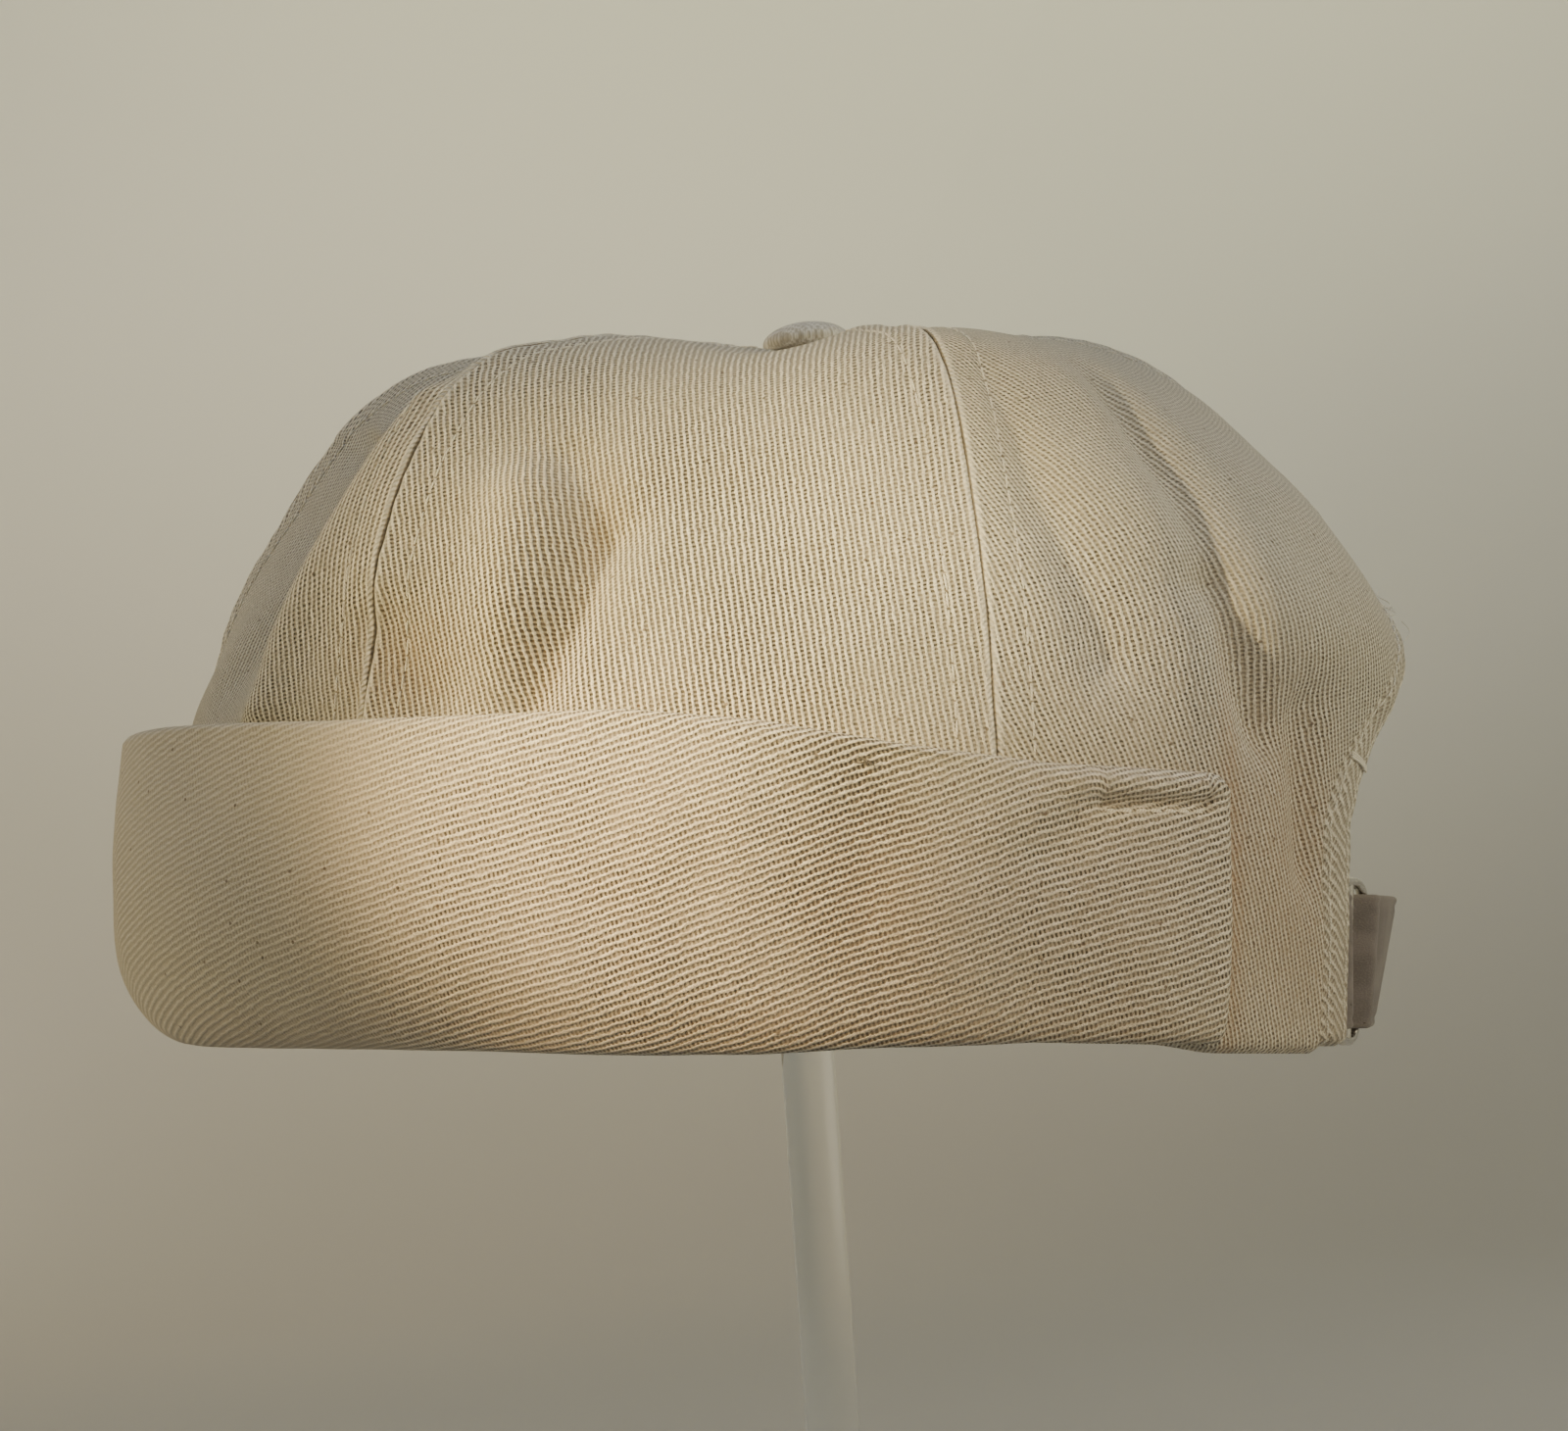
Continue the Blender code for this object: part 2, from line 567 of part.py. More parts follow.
def make_slide(metal, hat):
    """The wire slide on the strap: a rounded frame and its middle bar, fused into one piece."""
    half_tall = SLIDE_HEIGHT / 2 - WIRE_RADIUS
    corner = SLIDE_CORNER

    def on_slide(across, up):
        """A point on the strap's line, so that the wires keep the weave's distance from the strap."""
        return strap_point(strap_frame(SLIDE_OFFSET + across), 0, STRAP_BOTTOM + STRAP_WIDTH / 2 + up)

    outline = []
    for side, up in ((1, 1), (-1, 1), (-1, -1), (1, -1)):
        first = math.atan2(up, side) - math.pi / 4
        for angle in np.linspace(first, first + math.pi / 2, 5):
            across = side * (SLIDE_BAR_SPACING - corner) + corner * math.cos(angle)
            outline.append(on_slide(across, up * (half_tall - corner) + corner * math.sin(angle)))
    slide = new_object("strap_slide", wire_mesh("strap_slide", outline, True), metal, hat)
    ends = [on_slide(0, -half_tall), on_slide(0, half_tall)]
    bar = new_object("slide_bar", wire_mesh("slide_bar", ends, False), metal, hat)
    bar.hide_render = True
    bar.display_type = "WIRE"
    join = slide.modifiers.new("middle_bar", "BOOLEAN")
    join.operation = "UNION"
    join.object = bar
    return slide


def hat_matrix():
    """The hat's frame on the stand: at the rim's level, tipped back about the rod."""
    return Matrix.Translation((0, 0, RIM_ABOVE_FOOT)) @ Matrix.Rotation(HAT_TIP, 4, "X")


def head_drop(radius):
    """How far the top of the stand's head lies below its middle at a radius."""
    return HEAD_CROWNING * (np.asarray(radius) / HEAD_RADIUS) ** 2


def head_top():
    """The height of the head's middle at which it just clears the crown's cloth and the button's shank."""
    turn, rise = np.meshgrid(np.linspace(0, math.tau, 181), np.linspace(0.45, 1, 56))
    cloth = crown_point(turn, rise, CLOTH).reshape(-1, 3)
    angles = np.linspace(0, math.tau, TURNED_STEPS + 1)
    shank_end = button_seat() - SHANK_LENGTH - SHANK_RADIUS * math.sin(BUTTON_TILT)
    around = [SHANK_RADIUS * np.sin(angles), SHANK_RADIUS * np.cos(angles), np.full(angles.shape, shank_end)]
    inside = np.concatenate([cloth, np.stack(around, -1)]) @ np.array(hat_matrix().to_3x3()).T
    radius = np.hypot(inside[:, 0], inside[:, 1])
    over = inside[radius < HEAD_RADIUS + CLEARANCE]
    lowest = (over[:, 2] + head_drop(np.hypot(over[:, 0], over[:, 1]))).min()
    return RIM_ABOVE_FOOT + lowest - CLEARANCE


def make_stand(acrylic):
    """The clear stand: a round foot, a rod and a crowned head under the hat's crown."""
    top = head_top()
    socket = ROD_RADIUS + CLEARANCE
    edge = ACRYLIC_EDGE
    floor_of_socket = BASE_THICKNESS - SOCKET_DEPTH
    base = [
        (0, 0), (BASE_RADIUS - edge, 0), (BASE_RADIUS, edge), (BASE_RADIUS, BASE_THICKNESS - edge),
        (BASE_RADIUS - edge, BASE_THICKNESS), (socket, BASE_THICKNESS), (socket, floor_of_socket),
        (0, floor_of_socket),
    ]
    new_object("stand_base", turned_mesh("stand_base", base, FOOT_STEPS), acrylic)
    roof_of_socket = top - HEAD_THICKNESS
    rod = [(0, floor_of_socket + CLEARANCE), (ROD_RADIUS, floor_of_socket + CLEARANCE),
           (ROD_RADIUS, roof_of_socket - CLEARANCE), (0, roof_of_socket - CLEARANCE)]
    new_object("stand_rod", turned_mesh("stand_rod", rod, TURNED_STEPS), acrylic)
    hub_end = roof_of_socket - HUB_LENGTH
    radii = np.linspace(HUB_RADIUS, HEAD_RADIUS - edge, 5)
    lower = [(radius, roof_of_socket - float(head_drop(radius))) for radius in radii]
    upper = [(radius, height + HEAD_THICKNESS) for radius, height in reversed(lower)]
    low_rim = roof_of_socket - float(head_drop(HEAD_RADIUS))
    head = [(0, roof_of_socket), (socket, roof_of_socket), (socket, hub_end), (HUB_RADIUS, hub_end)]
    head += lower + [(HEAD_RADIUS, low_rim + edge), (HEAD_RADIUS, low_rim + HEAD_THICKNESS - edge)] + upper
    new_object("stand_head", turned_mesh("stand_head", head + [(0, top)], HEAD_STEPS), acrylic)


def main():
    """Builds the hat in its own frame, then the stand under it."""
    clear_scene()
    twill = material("cream_twill", (0.70, 0.62, 0.47), 0.92)
    suede = material("grey_leather", (0.22, 0.19, 0.175), 0.8)
    steel = material("bright_steel", (0.72, 0.70, 0.67), 0.22, metallic=1.0)
    acrylic = material("clear_acrylic", (0.9, 0.93, 0.93), 0.05, alpha=0.35)
    hat = bpy.data.objects.new("hat_frame", None)
    bpy.context.scene.collection.objects.link(hat)
    hat.matrix_world = hat_matrix()
    for panel in PANELS:
        make_panel(panel, twill, hat)
    make_button(twill, hat)
    make_cuff(twill, hat)
    make_binding(twill, hat)
    make_strap(suede, hat)
    make_slide(steel, hat)
    make_stand(acrylic)


main()
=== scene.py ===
"""The looks of a cream twill docker hat on its clear display stand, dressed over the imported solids.

The hat has a frame of its own: its origin is on the rod at the level of the rim, the front faces -Y, the
wearer's left is +X and +Z is up. hat_frame() stands that frame on the stand, tipped back a little.
All lengths are in metres. A turn is an angle about the button from the front towards the wearer's left,
and a rise runs from 0 at the rim to 1 at the button's shank.
"""

import logging
import math
from dataclasses import dataclass, field
from enum import Enum

import bmesh
import bpy
import numpy as np
from mathutils import Matrix, Vector


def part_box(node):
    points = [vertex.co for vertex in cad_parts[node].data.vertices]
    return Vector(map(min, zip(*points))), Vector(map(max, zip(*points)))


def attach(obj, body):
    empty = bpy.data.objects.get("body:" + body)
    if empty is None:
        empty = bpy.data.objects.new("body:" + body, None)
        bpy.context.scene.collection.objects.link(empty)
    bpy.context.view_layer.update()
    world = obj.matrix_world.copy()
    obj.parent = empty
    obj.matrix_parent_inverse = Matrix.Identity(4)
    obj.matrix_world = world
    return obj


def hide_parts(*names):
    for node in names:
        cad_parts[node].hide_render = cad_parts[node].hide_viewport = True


log = logging.getLogger("docker_hat")

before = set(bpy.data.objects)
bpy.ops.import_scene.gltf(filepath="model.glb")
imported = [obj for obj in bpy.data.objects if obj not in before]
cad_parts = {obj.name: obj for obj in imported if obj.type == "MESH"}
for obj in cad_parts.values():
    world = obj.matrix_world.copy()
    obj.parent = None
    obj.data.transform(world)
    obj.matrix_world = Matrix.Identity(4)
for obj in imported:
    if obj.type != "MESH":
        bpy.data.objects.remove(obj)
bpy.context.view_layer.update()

MM = 0.001
Socket = bpy.types.NodeSocket
Value = float | Socket
Colour = tuple[float, float, float]
Place = tuple[float, float, float]
Spot = tuple[float, float]

# What the whole hat shares: the cloth, the clearance between pieces and how the hat stands
CLOTH = 1.4 * MM
SEAM_GAP = 0.06 * MM
CLEARANCE = 0.3 * MM
RIM_ABOVE_FOOT = 108 * MM
HAT_TIP = math.radians(-3.8)
SMALL_TURN = 1e-3


def hat_frame() -> Matrix:
    """The hat's frame on the stand: at the rim's level, tipped back about the rod."""
    return Matrix.Translation((0, 0, RIM_ABOVE_FOOT)) @ Matrix.Rotation(HAT_TIP, 4, "X")


# Curves and soft unevenness

def smooth_rows(values: list[float], at: np.ndarray) -> np.ndarray:
    """Reads an evenly spaced row of values along a Catmull-Rom curve.

    Args:
        values: The row's values.
        at: Places from 0 to 1 along the row.

    Returns:
        The value at each place.
    """
    row = np.asarray(values, float)
    last = len(row) - 1
    place = np.clip(np.asarray(at, float), 0.0, 1.0) * last
    left = np.minimum(np.floor(place).astype(int), last - 1)
    f = place - left
    before, here = row[np.maximum(left - 1, 0)], row[left]
    there, after = row[left + 1], row[np.minimum(left + 2, last)]
    slope_here, slope_there = (there - before) / 2, (after - here) / 2
    return (
        (2 * f**3 - 3 * f**2 + 1) * here
        + (f**3 - 2 * f**2 + f) * slope_here
        + (3 * f**2 - 2 * f**3) * there
        + (f**3 - f**2) * slope_there
    )


def smooth_between(at: np.ndarray, places: list[float], values: list[float]) -> np.ndarray:
    """Reads values given at uneven places, with the corners between them rounded off.

    Args:
        at: Where to read.
        places: The places that the values are given at, rising.
        values: The values there.

    Returns:
        The values read.
    """
    spread = np.linspace(-0.035, 0.035, 7)
    weight = np.cos(spread / 0.07 * math.pi)
    at = np.asarray(at, float)
    total = sum(w * np.interp(at + s, places, values) for s, w in zip(spread, weight))
    return total / weight.sum()


def ease(values: np.ndarray, start: float, end: float) -> np.ndarray:
    """A smooth step from 0 at start to 1 at end."""
    share = np.clip((np.asarray(values, float) - start) / (end - start), 0, 1)
    return share * share * (3 - 2 * share)


def bell(values: np.ndarray, width: float) -> np.ndarray:
    """A bell curve of height 1 that has fallen to a third at the width."""
    return np.exp(-((np.asarray(values, float) / width) ** 2))


def unit(vectors: np.ndarray) -> np.ndarray:
    """Vectors along the last axis, brought to length 1."""
    return vectors / np.maximum(np.linalg.norm(vectors, axis=-1, keepdims=True), 1e-12)


def run_length(points: np.ndarray, axis: int = 0) -> np.ndarray:
    """The length along rows of points up to each point.

    Args:
        points: The points.
        axis: The axis that the rows run along.

    Returns:
        The lengths.
    """
    steps = np.linalg.norm(np.diff(points, axis=axis), axis=-1)
    start = np.zeros_like(np.take(steps, [0], axis=axis))
    return np.concatenate([start, np.cumsum(steps, axis=axis)], axis=axis)


def read_path(path: np.ndarray, length: np.ndarray, at: Value) -> np.ndarray:
    """The points of a path where a measure along it has these values."""
    return np.stack([np.interp(at, length, path[:, k]) for k in range(3)], -1)


def line_distance(across: np.ndarray, upward: np.ndarray, start: np.ndarray, end: np.ndarray) -> np.ndarray:
    """How far places on a flat sheet lie from a line on it.

    Args:
        across: The places' first coordinate.
        upward: Their second coordinate.
        start: The line's start.
        end: Its end.

    Returns:
        The distances.
    """
    run = end - start
    across, upward = across - start[0], upward - start[1]
    share = np.clip((across * run[0] + upward * run[1]) / (run @ run), 0, 1)
    return np.hypot(across - share * run[0], upward - share * run[1])


def from_front(turn: np.ndarray) -> np.ndarray:
    """How many degrees turns in radians lie from the front, on either side."""
    degrees = np.degrees(turn) % 360
    return np.minimum(degrees, 360 - degrees)


@dataclass(frozen=True)
class Ripple:
    """Soft uneven swelling of cloth: a few waves whose directions come from a seed."""

    wavelength: float
    height: float
    seed: int
    waves: int = 8

    def at(self, across: np.ndarray, along: np.ndarray) -> np.ndarray:
        """The swelling's height.

        Args:
            across: Places along the first direction of the cloth.
            along: Places along the second direction.

        Returns:
            The height at each place.
        """
        draw = np.random.default_rng(self.seed)
        total = np.zeros(np.broadcast(across, along).shape)
        for _ in range(self.waves):
            angle, phase = draw.uniform(0, math.tau, 2)
            length = self.wavelength * draw.uniform(0.7, 1.5)
            total += np.sin(math.tau / length * (across * math.cos(angle) + along * math.sin(angle)) + phase)
        return self.height * total / math.sqrt(self.waves)


# Meshes

@dataclass
class MeshParts:
    """Points, faces and the cloth coordinates of each face's corners, gathered before they become a mesh."""

    points: np.ndarray
    faces: list[list[int]]
    flat: np.ndarray
    flat_faces: list[list[int]]
    layers: dict[str, np.ndarray] = field(default_factory=dict)
    values: dict[str, np.ndarray] = field(default_factory=dict)

    def mesh(self, name: str) -> bpy.types.Mesh:
        """Makes the mesh, with its cloth coordinates in metres and its named values.

        Args:
            name: The mesh's name.

        Returns:
            The mesh, shaded smooth except at sharp corners.
        """
        made = bpy.data.meshes.new(name)
        made.from_pydata(self.points.tolist(), [], self.faces)
        corners = np.fromiter((i for face in self.flat_faces for i in face), np.int32)
        for layer_name, flat in {"Cloth": self.flat, **self.layers}.items():
            layer = made.uv_layers.new(name=layer_name)
            layer.data.foreach_set("uv", flat[corners].astype(np.float32).ravel())
        for value_name, values in self.values.items():
            attribute = made.attributes.new(value_name, "FLOAT", "POINT")
            attribute.data.foreach_set("value", values.astype(np.float32).ravel())
        body = bmesh.new()
        body.from_mesh(made)
        bmesh.ops.recalc_face_normals(body, faces=body.faces)
        body.to_mesh(made)
        body.free()
        made.shade_smooth()
        made.set_sharp_from_angle(angle=math.radians(55))
        return made


def grid_faces(rows: int, columns: int) -> np.ndarray:
    """The quads of a grid of points, counted row by row."""
    corner = (np.arange(rows - 1)[:, None] * columns + np.arange(columns - 1)[None, :]).ravel()
    return np.stack([corner, corner + 1, corner + columns + 1, corner + columns], -1)


def cloth_shell(face: np.ndarray, back: np.ndarray, flat: np.ndarray, **extra: dict) -> MeshParts:
    """Closes a wall between two grids of points.

    Args:
        face: The outer grid, rows by columns by 3.
        back: The inner grid, of the same shape.
        flat: The cloth coordinates, rows by columns by 2.
        **extra: layers and values of the outer grid's points, by name.

    Returns:
        The closed wall.
    """
    rows, columns = face.shape[:2]
    count = rows * columns
    front = grid_faces(rows, columns)
    rear = front[:, ::-1] + count
    index = np.arange(count).reshape(rows, columns)
    rim = np.concatenate([index[0, :-1], index[:-1, -1], index[-1, :0:-1], index[:0:-1, 0]])
    following = np.roll(rim, -1)
    sides = np.stack([rim, rim + count, following + count, following], -1)
    faces = np.concatenate([front, rear, sides]).tolist()
    twice = {
        kind: {name: np.concatenate([grid.reshape(count, -1)] * 2) for name, grid in named.items()}
        for kind, named in extra.items()
    }
    points = np.concatenate([face.reshape(-1, 3), back.reshape(-1, 3)])
    return MeshParts(points, faces, np.concatenate([flat.reshape(-1, 2)] * 2), faces, **twice)


def lofted_bar(rings: np.ndarray, flat: np.ndarray, closed: bool = False, **extra: dict) -> MeshParts:
    """Joins rings of points into a bar.

    Args:
        rings: Rings by points by 3, each running the same way round.
        flat: Cloth coordinates, rings by points plus one by 2, so that the last column closes each ring.
        closed: True if the last ring joins the first, otherwise the ends are closed by fans.
        **extra: values of the rings' points, by name.

    Returns:
        The closed bar.
    """
    count, around = rings.shape[:2]
    faces, flat_faces = [], []
    spans = count if closed else count - 1
    for ring in range(spans):
        following = (ring + 1) % count
        for k in range(around):
            after = (k + 1) % around
            here, there = ring * around, following * around
            faces.append([here + k, here + after, there + after, there + k])
            near, far = ring * (around + 1) + k, (ring + 1) * (around + 1) + k
            flat_faces.append([near, near + 1, far + 1, far])
    if closed:
        flat = np.concatenate([flat, flat[:1]])
    points = rings.reshape(-1, 3)
    flat = flat.reshape(-1, 2)
    if not closed:
        for ring, turned in ((0, True), (count - 1, False)):
            first = ring * around
            order = list(range(around))
            if turned:
                order.reverse()
            faces.append([first + k for k in order])
            flat_faces.append([ring * (around + 1) + k for k in order])
    values = {name: grid.reshape(-1, 1) for name, grid in extra.get("values", {}).items()}
    return MeshParts(points, faces, flat, flat_faces, values=values)


def turned_solid(profile: list[tuple[float, float]], steps: int) -> MeshParts:
    """Turns a profile that starts and ends on the axis about Z.

    Args:
        profile: Radii and heights, running up the outside from the bottom of the axis to its top.
        steps: How many faces go round.

    Returns:
        The turned solid.
    """
    outline = np.array(profile)
    angles = np.linspace(0, math.tau, steps + 1)
    middle = outline[1:-1]
    rings = np.stack([
        np.outer(middle[:, 0], np.cos(angles[:-1])),
        np.outer(middle[:, 0], np.sin(angles[:-1])),
        np.repeat(middle[:, 1:], steps, axis=1),
    ], -1)
    points = np.concatenate([rings.reshape(-1, 3), [[0, 0, outline[0, 1]], [0, 0, outline[-1, 1]]]])
    foot, crown = len(points) - 2, len(points) - 1
    faces = []
    for ring in range(len(middle) - 1):
        for k in range(steps):
            after = (k + 1) % steps
            low, high = ring * steps, (ring + 1) * steps
            faces.append([low + k, low + after, high + after, high + k])
    last = (len(middle) - 1) * steps
    for k in range(steps):
        after = (k + 1) % steps
        faces.append([foot, after, k])
        faces.append([crown, last + k, last + after])
    return MeshParts(points, faces, points[:, :2].copy(), faces)


def round_wire(path: np.ndarray, radius: np.ndarray, sides: int, closed: bool) -> MeshParts:
    """A round wire or thread along a path.

    Args:
        path: The points along its middle.
        radius: Its radius at each point.
        sides: How many faces go round.
        closed: True if it joins itself.

    Returns:
        The wire.
    """
    if closed:
        tangent = unit(np.roll(path, -1, axis=0) - np.roll(path, 1, axis=0))
    else:
        tangent = unit(np.gradient(path, axis=0))
    side = unit(np.cross(tangent[0], (0.31, 0.17, 0.93)))
    sideways = []
    for direction in tangent:
        side = unit(side - direction * (side @ direction))
        sideways.append(side)
    sideways = np.array(sideways)
    upward = np.cross(tangent, sideways)
    if closed:
        angle = math.atan2(sideways[-1] @ upward[0], sideways[-1] @ sideways[0])
    else:
        angle = 0.0
    twist = -angle * np.arange(len(path)) / len(path)
    around = np.linspace(0, math.tau, sides + 1)[:-1][None, :] + twist[:, None]
    rings = path[:, None] + radius[:, None, None] * (
        np.cos(around)[..., None] * sideways[:, None] + np.sin(around)[..., None] * upward[:, None]
    )
    flat = np.stack(np.meshgrid(np.linspace(0, 1, sides + 1), run_length(path)), -1)
    return lofted_bar(rings, flat, closed)


def join_parts(parts: list[MeshParts]) -> MeshParts:
    """Joins several gathered meshes into one.

    Args:
        parts: The meshes.

    Returns:
        One mesh with all their points, faces and cloth coordinates.
    """
    points, flat, faces, flat_faces = [], [], [], []
    point_count, flat_count = 0, 0
    for part in parts:
        faces += [[i + point_count for i in face] for face in part.faces]
        flat_faces += [[i + flat_count for i in face] for face in part.flat_faces]
        points.append(part.points)
        flat.append(part.flat)
        point_count += len(part.points)
        flat_count += len(part.flat)
    return MeshParts(np.concatenate(points), faces, np.concatenate(flat), flat_faces)


def place_piece(
    name: str,
    parts: MeshParts,
    finish: bpy.types.Material,
    slot: str,
    *nodes: str,
    where: Matrix | None = None,
) -> bpy.types.Object:
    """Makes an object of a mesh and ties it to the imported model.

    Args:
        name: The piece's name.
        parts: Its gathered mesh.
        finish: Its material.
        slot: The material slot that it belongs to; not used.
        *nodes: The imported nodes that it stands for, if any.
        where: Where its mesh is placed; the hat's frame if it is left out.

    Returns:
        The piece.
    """
    mesh = parts.mesh(name)
    mesh.transform(hat_frame() if where is None else where)
    mesh.materials.append(finish)
    piece = bpy.data.objects.new(name, mesh)
    bpy.context.scene.collection.objects.link(piece)
    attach(piece, "root")
    if nodes:
        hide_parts(*nodes)
    log.info("%s: %d faces", name, len(mesh.polygons))
    return piece


# Finishes

class ShaderTree:
    """A material's nodes, with short calls for those that the finishes use."""

    def __init__(self, name: str) -> None:
        """Starts a material with one Principled shader.

        Args:
            name: The material's name.
        """
        self.material = bpy.data.materials.new(name)
        self.material.use_nodes = True
        self.nodes = self.material.node_tree.nodes
        self.shader = self.nodes["Principled BSDF"]

    def feed(self, socket: Socket, value: Value | tuple) -> None:
        """Links a socket to another, or sets its own value.

        Args:
            socket: The socket.
            value: Another socket, a number or a colour.
        """
        if isinstance(value, Socket):
            self.material.node_tree.links.new(value, socket)
        elif isinstance(value, tuple) and len(value) == 3 and len(socket.default_value) == 4:
            socket.default_value = (*value, 1)
        else:
            socket.default_value = value

    def set(self, **values: Value | tuple) -> None:
        """Sets or links the shader's inputs, named with underscores for spaces."""
        for name, value in values.items():
            self.feed(self.shader.inputs[name.replace("_", " ").title().replace("Ior", "IOR")], value)

    def maths(self, operation: str, *values: Value, clamp: bool = False) -> Socket:
        """One step of arithmetic.

        Args:
            operation: Blender's name for it.
            *values: Its operands.
            clamp: True to keep the result between 0 and 1.

        Returns:
            The result's socket.
        """
        node = self.nodes.new("ShaderNodeMath")
        node.operation = operation
        node.use_clamp = clamp
        for socket, value in zip(node.inputs, values):
            self.feed(socket, value)
        return node.outputs[0]

    def add(self, *values: Value) -> Socket:
        """The sum of two or more values.

        Args:
            *values: The values.

        Returns:
            The sum's socket.
        """
        total = values[0]
        for value in values[1:]:
            total = self.maths("ADD", total, value)
        return total

    def times(self, first: Value, second: Value) -> Socket:
        """The product of two values."""
        return self.maths("MULTIPLY", first, second)

    def remap(
        self, value: Value, low: float, high: float, to_low: float = 0.0, to_high: float = 1.0
    ) -> Socket:
        """A smooth step of a value from one range to another.

        Args:
            value: The value.
            low: Where the step starts.
            high: Where it ends.
            to_low: The result at its start.
            to_high: The result at its end.

        Returns:
            The result's socket.
        """
        node = self.nodes.new("ShaderNodeMapRange")
        node.interpolation_type = "SMOOTHSTEP"
        for socket, given in zip(node.inputs, (value, low, high, to_low, to_high)):
            self.feed(socket, given)
        return node.outputs[0]

    def wave(self, phase: Value) -> Socket:
        """A cosine wave between 0 and 1 that peaks at whole numbers."""
        turn = self.times(phase, math.tau)
        return self.maths("MULTIPLY_ADD", self.maths("COSINE", turn), 0.5, 0.5)

    def blend(self, share: Value, first: Value | Colour, second: Value | Colour) -> Socket:
        """A mix of two colours.

        Args:
            share: How much of the second colour there is.
            first: One colour.
            second: The other colour.

        Returns:
            The mixed colour's socket.
        """
        node = self.nodes.new("ShaderNodeMix")
        node.data_type = "RGBA"
        self.feed(node.inputs["Factor"], share)
        self.feed(node.inputs[6], first)
        self.feed(node.inputs[7], second)
        return node.outputs[2]

    def coordinates(self, layer: str) -> Socket:
        """The coordinates of a named layer.

        Args:
            layer: The layer's name.

        Returns:
            The coordinates' socket.
        """
        node = self.nodes.new("ShaderNodeUVMap")
        node.uv_map = layer
        return node.outputs[0]

    def split(self, vector: Socket) -> tuple[Socket, Socket]:
        """The first two parts of a vector.

        Args:
            vector: The vector.

        Returns:
            The two parts' sockets.
        """
        node = self.nodes.new("ShaderNodeSeparateXYZ")
        self.feed(node.inputs[0], vector)
        return node.outputs[0], node.outputs[1]

    def join(self, first: Value, second: Value) -> Socket:
        """A vector of two values.

        Args:
            first: Its first part.
            second: Its second part.

        Returns:
            The vector's socket.
        """
        node = self.nodes.new("ShaderNodeCombineXYZ")
        self.feed(node.inputs[0], first)
        self.feed(node.inputs[1], second)
        return node.outputs[0]

    def value(self, name: str) -> Socket:
        """A named value of the mesh's points.

        Args:
            name: The value's name.

        Returns:
            Its socket.
        """
        node = self.nodes.new("ShaderNodeAttribute")
        node.attribute_name = name
        return node.outputs["Fac"]

    def noise(self, vector: Socket, scale: float, detail: float = 2.0, flat: bool = True) -> Socket:
        """Smooth noise around 0.5.

        Args:
            vector: The coordinates that it lies in.
            scale: Its waves per unit of them.
            detail: How many finer layers it has.
            flat: True for the first two coordinates only.

        Returns:
            The noise's socket.
        """
        node = self.nodes.new("ShaderNodeTexNoise")
        node.noise_dimensions = "2D" if flat else "3D"
        self.feed(node.inputs["Vector"], vector)
        node.inputs["Scale"].default_value = scale
        node.inputs["Detail"].default_value = detail
        return node.outputs["Fac"]

    def specks(self, vector: Socket, scale: float, size: float, share: float) -> Socket:
        """Small scattered specks.

        Args:
            vector: The coordinates that they lie in.
            scale: Cells per metre, at most one speck in each.
            size: A speck's radius as a share of a cell.
            share: The share of cells that have one.

        Returns:
            1 inside a speck and 0 outside it.
        """
        node = self.nodes.new("ShaderNodeTexVoronoi")
        node.voronoi_dimensions = "2D"
        self.feed(node.inputs["Vector"], vector)
        node.inputs["Scale"].default_value = scale
        inside = self.remap(node.outputs["Distance"], size * 0.5, size, 1.0, 0.0)
        drawn = self.split(node.outputs["Color"])[0]
        return self.times(inside, self.maths("LESS_THAN", drawn, share))

    def bump(self, height: Socket, distance: float, strength: float) -> None:
        """Raises the surface by a height map.

        Args:
            height: The height map.
            distance: How far a height of 1 rises, in metres.
            strength: How much of the bump shows.
        """
        node = self.nodes.new("ShaderNodeBump")
        node.inputs["Distance"].default_value = distance
        node.inputs["Strength"].default_value = strength
        self.feed(node.inputs["Height"], height)
        self.feed(self.shader.inputs["Normal"], node.outputs[0])


class Grain(Enum):
    """How a piece was cut from the twill: the angle of its ribs to the cloth's first direction."""

    UPRIGHT = math.radians(102)
    LEVEL = math.radians(17)
    BIAS = math.radians(52)


